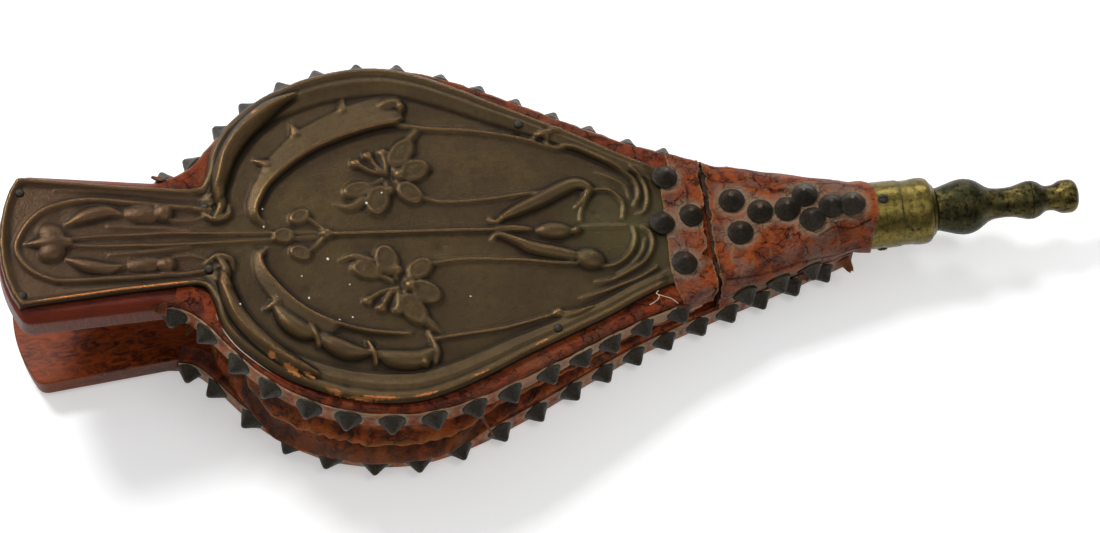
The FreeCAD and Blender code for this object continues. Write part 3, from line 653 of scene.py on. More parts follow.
# handle: bead, heart, pods and ribs
strokes("""
-215.7 14, -230 15, -250.7 17.5, -270 19.3, -282 17.8, -290.7 15, -297.9 8.6, -302.3 0.3, \
-301.8 -5.7, -297 -12.9, -287.9 -17.9, -279 -18.9, -243.6 -17.9, -225.7 -17, -213 -14.3 \
| 1.35 | 1.25
-216 18.5, -232 19.2, -255 21.8, -285 24.2 | 0.8 | 0.35 | soft
-216 -18.8, -232 -20.4, -255 -22, -285 -24 | 0.8 | 0.35 | soft
-280 0, -288 0, -298.6 -0.5 | 3 4 0.6 | 1.8 2.3 0.8
-166 0.3, -140 0.4, -110 0.3, -84 0 | 1.15 | 1.7
-46 0, -34 0.5, -22 0.2 | 0.9 | 0.9
""")
strokes("""
-280 8.6, -272 11.8, -263 13.8, -256 12.4 | 1.2 3.4 3.2 1.0 | 1.0 1.9 1.8 1.1
-262 7, -250 6.2, -238 5.4, -226 4.2 | 0.9 | 0.75 | soft
-283 1.2, -268 2.4, -250 2.6, -238 2.9, -224 2.6, -210 2.2, -190 1.7, -168 1.1 \
| 0.9 1.0 1.1 1.1 1.0 1.0 0.9 0.8 | 0.9 1.0 1.1 1.2 1.2 1.1 1.0 0.9
-234 9, -226 8.6, -219 10.5, -215 13 | 0.9 | 0.9 | soft
""", sides=FAR_NEAR)
domes("""
-287 4.0  6.6 5.4  -28  2.1 0.6 0
-287 -4.4  6.6 5.4  28  2.1 0.6 0
-246 12.2  9.2 4.2  -3  1.5 0.6 0
-246 -12.2  9.2 4.2  3  1.5 0.6 0
-237 12.6  4.6 4.6  0  2.2 0.55 0
-237 -12.6  4.6 4.6  0  2.2 0.55 0
""")

# trefoil on the stem
domes("""
-175.3 9.6  5.6 3.9  28  1.9 0.55 0.45
-183.2 0.2  5.4 4.2  0  2.0 0.55 0.45
-176.2 -8.8  5.6 3.9  -28  1.9 0.55 0.45
-163.6 0.6  3.1 3.1  0  1.9 0.5 0
""")
strokes("""
-164 1.6, -168 5.6, -172 8.6 | 1.0 | 1.3
-164 -0.6, -168 -4.8, -172 -8 | 1.0 | 1.3
""")

# long whiplash, far side
far_outer = table("""
-191 4.8, -197.2 8.2, -199.3 14, -197.5 22, -193.5 30, -188.5 38.5, -180 47.4, -172.5 53.2,
-165 57.5, -156 62, -146 66, -135 69, -126 69.2, -121.6 66, -122.6 60.5""")
far_inner = table("""
-190.2 6.8, -193.6 9.6, -194.4 14, -192.6 19, -189.2 25, -184.5 30, -178 35.5, -171 40.5,
-163.5 44.6, -156 47.6, -149 50.2, -141 52.6, -133 54.4, -127 55.6, -123.2 57.8""")
ribbon(far_outer, far_inner, outer_height=1.0, inner_height=3.0)
stroke(far_inner[2:], [0.7] + [1.15] * 10 + [0.7], [1.8] + [3.1] * 10 + [2.2])
strokes("""
-188 36, -194.6 38.6 | 3.0 0.5 | 2.0 1.2
-174 51, -176.0 56.4 | 3.0 0.5 | 2.0 1.2
-151 62.4, -150.4 67.8 | 3.0 0.5 | 2.0 1.2
-149 51.6, -140 53.4, -129 54.5, -120 53.8, -110 52.4, -93.6 50.9, -78 48.4, -66 45.6, \
-54.3 41.4 | 1.0 1.0 1.0 1.15 1.15 1.1 1.05 1.0 0.8 | 1.3 1.4 1.4 1.5 1.5 1.45 1.4 1.3 1.1
-63 45.2, -57 47.6, -50 50.2 | 0.7 1.4 0.7 | 0.9 1.6 0.9
""")
domes("""
-129 64.8  7.4 3.8  12  2.7 0.5 0
-123.8 63.2  2.6 2.6  0  3.0 0.5 0
""")

# long whiplash, near side, in three pods
near_inner = table("""
-191.6 -7.2, -194 -11, -192.6 -17, -188.6 -23, -183 -30, -176 -36.4, -168.5 -41.2, -160 -45,
-150.5 -48, -140 -49.8, -129.3 -50.4""")
near_outer = table("""
-190.6 -5, -196.2 -6.8, -198.2 -13, -197 -21, -192.6 -29, -187.4 -37, -181 -44.4, -176 -48,
-170.5 -50.2, -168 -50.6, -165 -50.6""")
ribbon(near_outer, near_inner[:8], outer_height=1.0, inner_height=2.7)
stroke(near_inner[1:], [0.7] + [1.05] * 8 + [0.8], [1.5] + [2.3] * 8 + [1.6])
strokes("""
-188.5 -33, -195.0 -36.4 | 3.0 0.5 | 2.0 1.2
-189 -36, -184.6 -42.4, -178.4 -47.6, -172.6 -49.8 | 2.2 4.3 4.4 2.2 | 1.8 2.9 2.9 2.0
-174.4 -45.0, -172.4 -49.8, -171.6 -55.4 | 1.1 1.5 1.1 | 2.4 3.2 2.4
-170.2 -50.6, -165 -54.6, -157.6 -58.4, -150 -59.4 | 2.2 4.5 4.6 2.2 | 1.9 3.0 3.0 2.0
-149.2 -53.8, -147.2 -59.2, -146.4 -65.0 | 1.1 1.5 1.1 | 2.4 3.2 2.4
-144.6 -60.0, -137 -63.0, -127.4 -63.8, -121.4 -60.6 | 2.6 5.0 5.2 3.4 | 2.0 3.1 3.1 2.2
-119.4 -65.6, -117.8 -60, -119.6 -54.6, -121 -50 | 1.0 1.3 1.2 0.8 | 2.0 2.1 1.6 1.2
-120 -53.9, -110 -52.5, -100 -51.4, -86.4 -49.6, -80 -48.2, -70 -45.7, -60 -42.9 \
| 1.0 1.1 1.1 1.1 1.05 1.0 0.9 | 1.5 1.6 1.6 1.5 1.5 1.4 1.2
""")
domes("-124.3 -66.0  2.4 2.4  0  3.9 0.5 0")

# Five-petalled flower heads with bell stamens. Petals: angle, distance from the flower's
# centre, two radii, height. Stamen ends: x, y from the centre, radius.
PETALS = table("""
62 13.5 9.4 5.6 2.3,  14 12.4 8.2 5.8 2.2,  -44 12.4 7.4 5.2 2.2
-118 13.6 8.6 5.8 2.3,  -158 16.6 7.6 4.6 2.0""", 5)
STAMENS = table("-15.4 7.4 2.5,  -9.4 11.4 2.3,  -2.2 12.6 2.3", 3)


def flower(side, x, y, turn):
    centre, mirror = np.array([x, y]), np.array([1, side])
    for angle, distance, radius_x, radius_y, height in PETALS:
        direction = math.radians(angle + turn)
        reach = distance * np.array([math.cos(direction), math.sin(direction)]) * mirror
        dome(*(centre + reach), radius_x, radius_y,
             side * (angle + turn + 12 * math.sin(angle)), height, power=0.6, ring=0.38)
        stroke([centre + reach * 4 / distance, centre + reach * 0.95], [1.2, 0.6], [1.3, 1.1])
    dome(x + 4.8, y + side * 0.8, 3.6, 3.6, 0, height=2.5, power=0.5, ring=0)
    dome(x - 0.6, y - side * 7.0, 2.9, 2.9, 0, height=2.0, power=0.5, ring=0)
    for end_x, end_y, radius in STAMENS:
        path = np.array([(-1.0, 1.5), (end_x * 0.55, end_y * 0.42), (end_x, end_y)])
        stroke(centre + path * mirror, [1.0, 1.3, 1.7], [1.4, 1.6, 1.7])
        dome(x + end_x, y + side * end_y, radius, radius, 0, height=2.2, power=0.5, ring=0.8)
    strokes("""
-13 -12, -20 -15, -27 -13 | 2.6 2.2 0.6 | 1.6 1.3 0.6
8 14, 12 20, 17 24 | 1.0 2.6 0.6 | 1.2 1.6 0.8
""", sides=(side,), centre=centre)


flower(side=1, x=-132.0, y=28.6, turn=0.0)
flower(side=-1, x=-132.0, y=-26.2, turn=6.0)
strokes("""
-122 20.0, -115 16.6, -110 15.2, -100.7 15, -86.4 16, -72 17.9, -57.9 19.3, -50.7 22 \
| 1.05 | 1.35
-120 -18.4, -115 -16.0, -110 -15.1, -100 -14.3, -86.4 -15, -72 -16, -57.9 -17.9, -48.6 -18.6 \
| 1.05 | 1.35
""")

# bell flower and loops at the nose end
strokes("""
-87 5.8, -84.3 3.6, -80 6.4, -72.9 9.8, -62 14.6, -52 19.6, -44 22.6, -38 20.4, -39.6 16, \
-45 10.4 | 0.8 1.4 2.2 3.4 4.0 4.0 3.6 2.6 1.6 0.9 | 1.0 1.6 2.0 2.3 2.4 2.4 2.4 2.2 1.8 1.2
-87 -5.4, -84.0 -2.6, -75 -6.2, -68.6 -9.6, -59 -12.2, -50 -14.4 \
| 0.8 1.4 2.6 3.6 3.8 3.2 | 1.0 1.6 2.2 2.4 2.4 2.2
-84 0.4, -76 0.2, -68 -0.4 | 1.6 2.4 1.4 | 1.5 1.9 1.6
-43.6 3.6, -42 10, -36.4 18.3, -30 19.4, -25.7 17.4, -21.8 11.4, -22.9 4.3 \
| 1.1 | 1.0 1.2 1.5 1.5 1.4 1.3 1.0
-38 -20.5, -32 -20.2, -26 -17.6, -20.7 -12.4, -18.0 -5.7, -18.6 -0.8 \
| 1.1 | 1.0 1.4 1.4 1.4 1.3 1.0
-47.9 50.7, -55 46.4, -52.9 41.4, -43.6 41, -34.3 37, -26 32.6, -20 28.6, -15 24, \
-13.6 16.7, -16.4 10.7 | 1.2 | 0.8 1.1 1.4 1.6 1.5 1.4 1.4 1.4 1.3 1.0
-58 -44, -50 -42.8, -43.6 -40.7 | 2.0 2.0 1.0 | 1.6 1.8 1.1
-48 -36, -38 -33.4, -30 -30.7, -18.6 -26.4, -10 -21.4 | 1.15 | 0.9 1.3 1.4 1.4 1.2
-40 -28.0, -32 -27.0, -23 -23.0, -14.5 -17.5, -10.2 -10, -10.6 -4.0, -14 -0.6 \
| 1.1 | 0.8 1.2 1.4 1.5 1.5 1.4 0.9
-29 -24.2, -21.5 -19.6, -15.6 -13.0, -14.0 -7.6 | 0.85 | 0.6 1.0 1.1 0.7
-16 30, -10.6 23, -9.4 15, -11.6 8, -15.4 6.0 | 1.1 | 1.0 1.5 1.5 1.4 0.9
-33 28.0, -26 25.2, -19.6 20.4, -18.2 14.6 | 0.85 | 0.6 1.1 1.1 0.7
""")
domes("""
-41.6 -16.4  7.4 5.6  -22  2.7 0.5 0
-57 -1.4  8.8 4.8  -4  2.6 0.5 0
-46.6 -1.8  2.4 2.4  0  2.3 0.5 0
-60 -43  2.9 2.9  0  2.0 0.5 0
""")


# ------------------------------------------------- copper relief: moulding and height field
def blurred(field, sigma):
    reach = int(max(3 * sigma / CELL, 1))
    kernel = np.exp(-0.5 * (np.arange(-reach, reach + 1) * CELL / sigma) ** 2)
    kernel /= kernel.sum()
    for axis in (0, 1):
        pad = [(0, 0), (0, 0)]
        pad[axis] = (reach, reach)
        padded = np.pad(field, pad, mode="edge")
        total = np.zeros_like(field)
        count = field.shape[axis]
        for i, weight in enumerate(kernel):
            total += weight * (padded[i:i + count] if axis == 0 else padded[:, i:i + count])
        field = total
    return field


facing_line = spline(FACING_HALF, 4)


def facing_distance():
    """Distance inwards from the facing's outline, and the mask of its inside."""
    line = np.vstack([facing_line, GRIP_HALF[1:3], FACING_END])
    distance = np.full(FIELD_X.shape, 1e9)
    for start, end in zip(line[:-1], line[1:]):
        rows = window(np.minimum(start, end), np.maximum(start, end), pad=24.0)[0]
        near = to_segment(FIELD_X[rows], ABS_Y[rows], start, end)[0]
        distance[rows] = np.minimum(distance[rows], near)
    order = np.argsort(line[:, 0])
    width = np.interp(LINE_X, line[order, 0], line[order, 1])
    inside = (ABS_Y < width[:, None]) & (FIELD_X > FACING_END[-1, 0])
    return np.where(inside, distance, -distance), inside


EDGE, INSIDE = facing_distance()

# Width of the moulding along the body: x, width. Its profile is drawn RIM_WIDTH wide.
RIM_WIDTHS = table("""-225 8.5, -215 10.5, -200 12.5, -186 13, -175 13.5, -153 14.5, -140 14.9,
-129 14, -110 12.7, -90 11.3, -66 9.4, -40 8.2, 0 7.4""")
RIM_WIDTH = 11.8
# Profiles: distance from the outline, height.
BODY_RIM = table("""0 1.0, 0.35 1.9, 0.8 2.45, 1.6 2.75, 2.5 2.45, 3.6 1.75, 5.0 1.85, 5.7 2.3,
6.2 2.6, 6.8 2.3, 7.6 1.75, 9.0 1.45, 10.8 1.25, 11.3 0.5, 11.8 -0.3, 12.5 -0.12, 14 0, 16 0""")
GRIP_RIM = table("0 1.0, 0.4 1.7, 1.0 1.9, 1.7 1.4, 2.6 0.35, 4.0 0.0, 6 0, 40 0")


def moulding():
    inwards = np.clip(EDGE, 0, 60)
    body = inwards * RIM_WIDTH / np.interp(LINE_X, *RIM_WIDTHS.T)[:, None]
    body_share = smooth(-221.5, -213.5, FIELD_X)
    rim = (np.interp(body, *BODY_RIM.T) * body_share
           + np.interp(inwards, *GRIP_RIM.T) * (1 - body_share))
    flat_end = 1 - 0.80 * smooth(-11.5, -5.0, FIELD_X)
    rim = (0.45 * blurred(rim, 0.35) + 0.55 * blurred(rim, 1.0)) * flat_end
    return np.where(INSIDE, rim, blurred(np.where(INSIDE, rim, 0), 1.0))


def copper_height_field():
    relief = 0.78 * blurred(RAISED, 0.38) + 0.46 * blurred(RAISED, 1.1)
    relief = relief + 0.24 * blurred(RAISED, 3.2)
    relief = relief * (1 - 0.75 * smooth(-9.5, -5.0, FIELD_X))
    place = np.stack([FIELD_X, FIELD_Y, FIELD_X * 0], -1)
    uneven = 0.20 * noise3(place / 21.0, 3, 3) + 0.05 * noise3(place / 3.4, 2, 9)
    uneven = uneven * (0.35 + 0.65 * smooth(0.5, 6, np.clip(EDGE, 0, 99)))
    height = moulding() + relief * 0.86 + uneven
    random = np.random.RandomState(11)
    for _ in range(46):                     # dents knocked into the sheet
        x, y = random.uniform(-305, -8), random.uniform(-80, 80)
        radius, depth = random.uniform(1.2, 5.0), random.uniform(0.08, 0.42)
        spot = window((x, y), (x, y), 3 * radius)
        across = radius * random.uniform(0.6, 1.2)
        height[spot] -= depth * bell(FIELD_X[spot], x, radius) * bell(FIELD_Y[spot], y, across)
    return height


HEIGHT = copper_height_field()
CAVITY = HEIGHT - blurred(HEIGHT, 1.5)
WIDE_CAVITY = HEIGHT - blurred(HEIGHT, 6.0)


def sample(field, x, y):
    """Bilinear value of a field at plate coordinates."""
    x = np.clip((x - LINE_X[0]) / CELL, 0, len(LINE_X) - 1.001)
    y = np.clip((y - LINE_Y[0]) / CELL, 0, len(LINE_Y) - 1.001)
    i, j = x.astype(int), y.astype(int)
    part_x, part_y = x - i, y - j
    return (field[i, j] * (1 - part_x) * (1 - part_y) + field[i + 1, j] * part_x * (1 - part_y)
            + field[i, j + 1] * (1 - part_x) * part_y + field[i + 1, j + 1] * part_x * part_y)


def copper_top(x, y):
    return COPPER_Z + float(sample(HEIGHT, np.array([x]), np.array([y]))[0])


# ------------------------------------------------------------------------ copper sheets
# Rubbed patches on the moulding, in the drawing's frame: x, y, two radii, angle.
WORN = table("""
-193 -60 4.0 1.6 -44,  -184 -67.5 8.5 2.0 -38,  -177 -70 5.0 1.2 -34,  -166 -77.5 6 1.5 -22
-148 -81.5 18 1.5 -4,  -126 -81.0 9 1.1 10,  -193 59 2.8 1.5 42,  -100 -72 9 0.8 24
-70 -58 6 0.7 25""", 5)
# Turned-down lip: reach outwards, drop. The last row is the foot, set to a height instead.
LIP = ((0.28, -0.25), (0.45, -0.9), (0.5, -1.9), (0.42, None))


def copper_attrs(x, y):
    wear = np.zeros_like(x)
    for centre_x, centre_y, radius_x, radius_y, angle in WORN:
        centre = to_plate([(centre_x, centre_y)])[0]
        off_x, off_y = x - centre[0], y - centre[1]
        cosine, sine = math.cos(math.radians(angle)), math.sin(math.radians(angle))
        patch = (bell(off_x * cosine + off_y * sine, 0, radius_x)
                 * bell(-off_x * sine + off_y * cosine, 0, radius_y))
        wear = np.maximum(wear, 0.85 * patch)
    line = bell(sample(EDGE, x, y), 1.1, 0.7)
    grip_side = smooth(-306, -290, x) * (1 - smooth(-232, -224, x)) * (y < 0)
    wear = np.maximum(wear, line * 0.98 * grip_side)
    wear = np.maximum(wear, line * 0.35 * (x < -226) * (y > 0))
    return {"cav": sample(CAVITY, x, y), "wide": sample(WIDE_CAVITY, x, y), "wear": wear,
            "grip": 1 - smooth(-232, -214, x), "green": smooth(-62, -40, x) * bell(y, 0, 22.0)}


def lip_rows(edge, direction, foot):
    rows = []
    for reach, drop in LIP:
        row = edge + direction * reach
        low = foot if drop is None else np.maximum(edge[:, 2] + drop, COPPER_FLOOR)
        row[:, 2] = np.minimum(low, edge[:, 2])
        rows.append(row)
    return rows


def copper_sheet(x, y, foot):
    """Sheet over a grid of plate coordinates, with a lip down both long sides."""
    grid = np.stack([x, y, COPPER_Z + sample(HEIGHT, x, y)], -1)
    lips = []
    for column, side in ((0, -1), (-1, 1)):
        normal = outward(np.stack([x[:, column], np.abs(y[:, column])], -1))
        direction = np.c_[normal[:, 0], side * normal[:, 1], 0 * normal[:, 0]]
        lips.append(np.stack(lip_rows(grid[:, column], direction, foot), 1))
    grid = np.concatenate([lips[0][:, ::-1], grid, lips[1]], 1)
    wide = len(LIP)
    attrs = {key: np.pad(values, ((0, 0), (wide, wide)), "edge")
             for key, values in copper_attrs(x, y).items()}
    # the turned-down lips take a hollow's value, which paints them darker: painted shade on the
    # lip, with its blackened edge
    attrs["cav"][:, :wide] = attrs["cav"][:, -wide:] = -0.22
    return grid, attrs


def build_copper(name, grid, attrs):
    sheet(name, tilted(grid), attrs, COPPER, body="top", replaces=("copper_facing",),
          slot="facing_copper")


def copper_body():
    line = resample(facing_line, step=0.76)
    across = np.linspace(-1, 1, 251)
    grid, attrs = copper_sheet(np.repeat(line[:, :1], len(across), 1),
                               line[:, 1:2] * across[None, :], foot=10.04)
    x, y = grid[..., 0], grid[..., 1]
    # the far edge is drawn a little further out
    shift = 2.7 * smooth(-222, -204, x) * (1 - smooth(-95, -8, x))
    shift = shift + 2.3 * (1 - smooth(-224, -216, x))
    grid[..., 1] = y + shift * smooth(0.45, 1.0, y / np.maximum(y[:, -1:], 1.0))
    build_copper("copper_body", grid, attrs)


def copper_grip():
    start, (corner_x, corner_y) = GRIP_HALF[0, 0], FACING_END[0]
    across = np.linspace(-1, 1, 126)
    end = np.interp(np.abs(across) * corner_y, FACING_END[::-1, 1], FACING_END[::-1, 0])
    along = np.linspace(0, 1, 150)[:, None]
    width = half_width(GRIP_HALF, start + along * (corner_x - start))
    foot = 8.5
    grid, attrs = copper_sheet(start + along * (end[None, :] - start), across * width, foot)
    ends = np.stack(lip_rows(grid[-1], np.array([-1, 0, 0]), foot))
    grid = np.concatenate([grid, ends], 0)
    attrs = {key: np.pad(values, ((0, len(LIP)), (0, 0)), "edge")
             for key, values in attrs.items()}
    grid[:, -1, 2] = np.where(grid[:, -1, 0] < -240, 8.2, grid[:, -1, 2])
    grid[..., 1] += 2.3 * smooth(4, 30, grid[..., 1])
    build_copper("copper_grip", grid, attrs)


copper_body()
copper_grip()


# ------------------------------------------------------------------------------- boards
def board_outline(half):
    """Closed outline, with rounded corners and a shallow arc across the handle's end."""
    mirror = [1, -1]
    far = spline(half, 6)
    tip = np.array([CORNER_X, CORNER_HALF])
    toward = (tip - far[-1]) / np.linalg.norm(tip - far[-1])
    corner_start = tip - toward * CORNER_RADIUS
    rise = CORNER_X - HANDLE_END
    radius = (CORNER_HALF ** 2 + rise ** 2) / (2 * rise)
    reach = math.asin(CORNER_HALF / radius) - CORNER_RADIUS / radius
    arc = np.array([(HANDLE_END + radius - radius * math.cos(angle), radius * math.sin(angle))
                    for angle in np.linspace(reach, -reach, 60)])
    corner = np.array([(1 - t) ** 2 * corner_start + 2 * t * (1 - t) * tip + t * t * arc[0]
                       for t in np.linspace(0, 1, 9)])
    grip = np.linspace(far[-1], corner_start, 30)
    full = np.vstack([far, grip[1:], corner[1:], arc[1:], (corner * mirror)[::-1][1:],
                      (grip * mirror)[::-1][1:], (far * mirror)[::-1][1:]])
    return np.vstack([full, np.linspace(full[-1], full[0], 24)[1:-1]])


# Edge sections as inset and depth, in chamfers on the bevelled side, ROUND on the plain one.
BEVEL = ((1.35, 0.0), (1.12, 0.02), (0.96, 0.10), (0.12, 0.88), (0.02, 1.02), (0.0, 1.25))
PLAIN = ((0.0, 1.0), (0.15, 0.45), (0.55, 0.1), (1.3, 0.0))
ROUND = 0.55
HOLE_X = -130.0
CAP_STEPS = 26


def board(name, half, mat, body, node, bevel_z, plain_z, hole=0.0, place=lambda grid: grid):
    """Board between two faces; the grip is chamfered on the face at bevel_z."""
    ring = board_outline(half)
    ring = resample(np.vstack([ring, ring[:1]]), count=901)[:-1]
    normal = outward(ring, closed=True)
    index = np.arange(len(ring))
    inward = 1 if plain_z > bevel_z else -1
    grip = 1 - smooth(-243, -235, ring[:, 0])
    chamfer = 0.8 + 2.7 * grip + 0.22 * noise1(index * 0.11, 5) * grip

    def inset(distance):
        return ring - normal * np.reshape(distance, (-1, 1))

    rows, side, bevel = [], [], []
    for inner, depth in BEVEL:
        rows.append((inset(chamfer * inner), bevel_z + inward * chamfer * depth))
        side.append(grip * (inner < 0.1))
        bevel.append(grip * (1.0 if 0.05 < inner < 1.0 else 0.25))
    start, end = rows[-1][1], plain_z - inward * ROUND
    for share in (0.3, 0.5, 0.7, 0.9):
        uneven = 0.06 * noise1(index * 0.05 + 31 * share, 8)
        rows.append((inset(uneven), start + (end - start) * share))
        side.append(grip)
        bevel.append(grip * 0)
    for inner, depth in PLAIN:
        rows.append((inset(ROUND * inner), plain_z - inward * ROUND * depth))
        side.append(grip * (inner < 0.2))
        bevel.append(grip * 0)

    # both faces run in to the hole, or to a small polygon where there is none
    angle = np.arctan2(ring[:, 1], ring[:, 0] - HOLE_X)
    target = [HOLE_X, 0.0] + np.stack([np.cos(angle), np.sin(angle)], -1) * max(hole, 1.0)

    def cap(row):
        shares = [(step / CAP_STEPS) ** 0.8 for step in range(1, CAP_STEPS + 1)]
        return [(row[0] * (1 - share) + target * share, row[1]) for share in shares]

    rows = cap(rows[0])[::-1] + rows + cap(rows[-1])
    grid = np.zeros((len(rows), len(ring), 3))
    for i, (outline, z) in enumerate(rows):
        grid[i, :, :2] = outline
        grid[i, :, 2] = z
    grid[..., 2] += 0.10 * noise3(grid / 30.0, 2, 21)
    faces = grid_faces(*grid.shape[:2], wrap_rows=hole > 0, wrap_columns=True,
                       flip=inward > 0).tolist()
    if not hole:
        last = (len(rows) - 1) * len(ring)
        faces += [index.tolist(), (last + index)[::-1].tolist()]
    pad = ((CAP_STEPS, CAP_STEPS), (0, 0))
    make(name, place(grid), faces, {"side": np.pad(side, pad), "bevel": np.pad(bevel, pad)},
         mat, body, (node,), "board_wood")


board("top_board_wood", TOP_HALF, WOOD, "top", "top_board", bevel_z=10.0, plain_z=-4.0,
      place=tilted)
board("bottom_board_wood", BOTTOM_HALF, INNER_WOOD, "base", "bottom_board", bevel_z=0.0,
      plain_z=14.0, hole=13.0)

# -------------------------------------------------------------------------------- studs
# Columns: height, radius.
STUD_PROFILE = spline(table("""-0.6 6.05, 0.0 6.25, 0.45 6.15, 1.3 5.25, 2.8 3.95, 4.3 2.75,
5.5 1.8, 6.25 1.1, 6.65 0.5, 6.76 0.02"""), 3)
BAND_OUT = 1.62             # outer face of the bands, from the board's side
top_curve = spline(TOP_HALF, 4)
bottom_curve = spline(BOTTOM_HALF, 4)


def edge_places(curve, stations, side, z):
    """Places and directions of studs along a board's side."""
    places = []
    for x in stations:
        i = np.where((curve[:-1, 0] - x) * (curve[1:, 0] - x) <= 0)[0][0]
        start, run = curve[i], curve[i + 1] - curve[i]
        width = start[1] + (x - start[0]) / run[0] * run[1]
        normal = np.array([run[1], -run[0]]) / math.hypot(*run)
        place = [x + normal[0] * BAND_OUT, side * (width + normal[1] * BAND_OUT), z]
        places.append((np.array(place), np.array([normal[0], side * normal[1], 0.0])))
    return places


def tilted_places(places):
    return [(tilted(place), turned_up(direction)) for place, direction in places]


def studs(name, places, body, node, seed, segments=30):
    random = np.random.RandomState(seed)
    parts = Parts()
    for place, direction in places:
        axis_x, axis_y, normal = axes_about(direction)
        tilt = random.uniform(-0.05, 0.05, 2)
        axis = normal + axis_x * tilt[0] + axis_y * tilt[1]
        axis /= np.linalg.norm(axis)
        axis_x = np.cross(axis_y, axis)
        axis_x /= np.linalg.norm(axis_x)
        axis_y = np.cross(axis, axis_x)
        angle = np.linspace(0, 2 * math.pi, segments, endpoint=False) + random.uniform(0, 6)
        height = STUD_PROFILE[:, :1] * random.uniform(0.93, 1.0)
        flat = random.uniform(6.0, 6.7)
        height = np.minimum(height, flat + 0.15 * (height - flat))      # blunted tip
        radius = STUD_PROFILE[:, 1:] * np.ones(segments)
        cosine, sine = np.cos(angle)[None, :], np.sin(angle)[None, :]
        stud = np.stack([radius * cosine, radius * sine, height + 0 * radius], -1)
        bumps = noise3(stud / 2.6 + random.uniform(0, 90, 3), 3, seed)
        hollow = 0.10 * np.maximum(noise3(stud / 4.5 + 7, 1, seed + 3), 0)
        facets = np.cos(angle * random.choice([5, 6, 7]) + random.uniform(0, 6))[None, :]
        radius = radius * (1 + 0.045 * bumps) - hollow
        radius = radius * (1 - 0.035 * facets * smooth(0.4, 2.5, height))
        grid = (place + radius[..., None] * (cosine[..., None] * axis_x
                                             + sine[..., None] * axis_y)
                + (height + 0.06 * bumps)[..., None] * axis)
        attrs = {"hgt": np.clip(height / 6.8, 0, 1), "sid": random.uniform(0, 1)}
        parts.add(grid, attrs, wrap=True, flip=True)
    parts.build(name, IRON, body=body, replaces=(node,), slot="stud_iron")


top_places = tilted_places(edge_places(top_curve, TOP_NEAR, -1, z=3.0)
                           + edge_places(top_curve, TOP_FAR, 1, z=3.0))
bottom_places = (edge_places(bottom_curve, BOTTOM_X, -1, z=7.0)
                 + edge_places(bottom_curve, BOTTOM_X, 1, z=7.0))
UPRIGHT = (0, 0, 1.0)
HINGE_SLOPE = math.atan2(0.9, 15.07)        # the leather falls away beyond the copper
hinge_places = [(np.array(place), np.array(direction)) for place, direction in (
    ((-0.6, 25.1, 13.3), UPRIGHT), ((-5.2, 0.3, 13.3), UPRIGHT), ((2.6, -21.4, 13.3), UPRIGHT),
    ((9.4, 4.3, 12.25), (-math.sin(HINGE_SLOPE), 0, math.cos(HINGE_SLOPE))))]

studs("studs_top_edge", top_places, "top", "top_edge_studs", seed=31)
studs("studs_bottom_edge", bottom_places, "base", "bottom_edge_studs", seed=32)
studs("studs_hinge", tilted_places(hinge_places), "top", "hinge_studs", seed=33)

# Nose block at both ends: half width at the foot, half width, top, shoulder radius.
NOSE_X, NOSE_LENGTH = 19.0, 71.0
NOSE_BACK = np.array([33.6, 34.6, 34.0, 7.0])
NOSE_FRONT = np.array([10.0, 15.0, 41.0, 14.0])


def nose_size(x):
    return NOSE_BACK + (x - NOSE_X) / NOSE_LENGTH * (NOSE_FRONT - NOSE_BACK)


def nose_top_place(x, y):
    _, width, top, radius = nose_size(x)
    flat = width - radius
    lift = math.atan2(NOSE_FRONT[2] - NOSE_BACK[2], NOSE_LENGTH)
    if abs(y) <= flat:
        return np.array((x, y, top + 1.65)), np.array((-math.sin(lift), 0.0, math.cos(lift)))
    side = 1 if y > 0 else -1
    reach = radius + 1.6
    angle = math.asin(min((abs(y) - flat) / reach, 1.0))
    return (np.array((x, y, top - radius + reach * math.cos(angle) + 0.05)),
            np.array((-math.sin(lift) * math.cos(angle), side * math.sin(angle),
                      math.cos(lift) * math.cos(angle))))


def nose_side_place(x, side):
    foot, width, top, radius = nose_size(x)
    z = 20.8
    wall = top - radius - 14.0
    y = foot + (z - 14.0) / wall * (width - foot) + 1.6
    lean = math.atan2(width - foot, wall)
    yaw = math.atan2(20.0, NOSE_LENGTH)
    normal = np.array((math.sin(yaw) * math.cos(lean), side * math.cos(yaw) * math.cos(lean),
                       -math.sin(lean)))
    return np.array((x, side * y, z)) + normal * 0.35, normal


NOSE_STUDS = table("""31.6 10.0, 33.2 -7.6, 44.0 2.0, 56.8 1.2, 66.0 7.2, 67.6 -6.0,
77.6 -0.6, 87.4 -1.0""")
nose_top_places = [nose_top_place(x, y) for x, y in NOSE_STUDS]
nose_side_places = [nose_side_place(x, side) for side in (-1, 1) for x in (33.0, 49.5, 65.5)]
studs("studs_nose_top", nose_top_places, "base", "nose_top_studs", seed=34)
studs("studs_nose_side", nose_side_places, "base", "nose_side_studs", seed=35)


def halo_of(grid, places, inner=5.6, outer=8.8):
    """Ring mask round the studs, and the distance to the nearest one."""
    distance = np.full(grid.shape[:-1], 1e9)
    for place, _ in places:
        distance = np.minimum(distance, np.linalg.norm(grid - place, axis=-1))
    return 1 - smooth(inner, outer, distance), distance


# -------------------------------------------------------- leather along the boards' sides
def strip(curve, x_from, x_to, side, section, step):
    """section(x, side) gives rows of distance out from the board's side, height, wear."""
    line = curve[(curve[:, 0] <= x_from) & (curve[:, 0] >= x_to)]
    line = resample(line, step=step)
    normal = outward(line)
    rows = section(line[:, 0], side)
    grid = np.zeros((len(line), len(rows), 3))
    edge = np.zeros(grid.shape[:2])
    for i, (out, z, wear) in enumerate(rows):
        grid[:, i, 0] = line[:, 0] + normal[:, 0] * out
        grid[:, i, 1] = side * (line[:, 1] + normal[:, 1] * out)
        grid[:, i, 2] = z
        edge[:, i] = wear
    return grid, edge


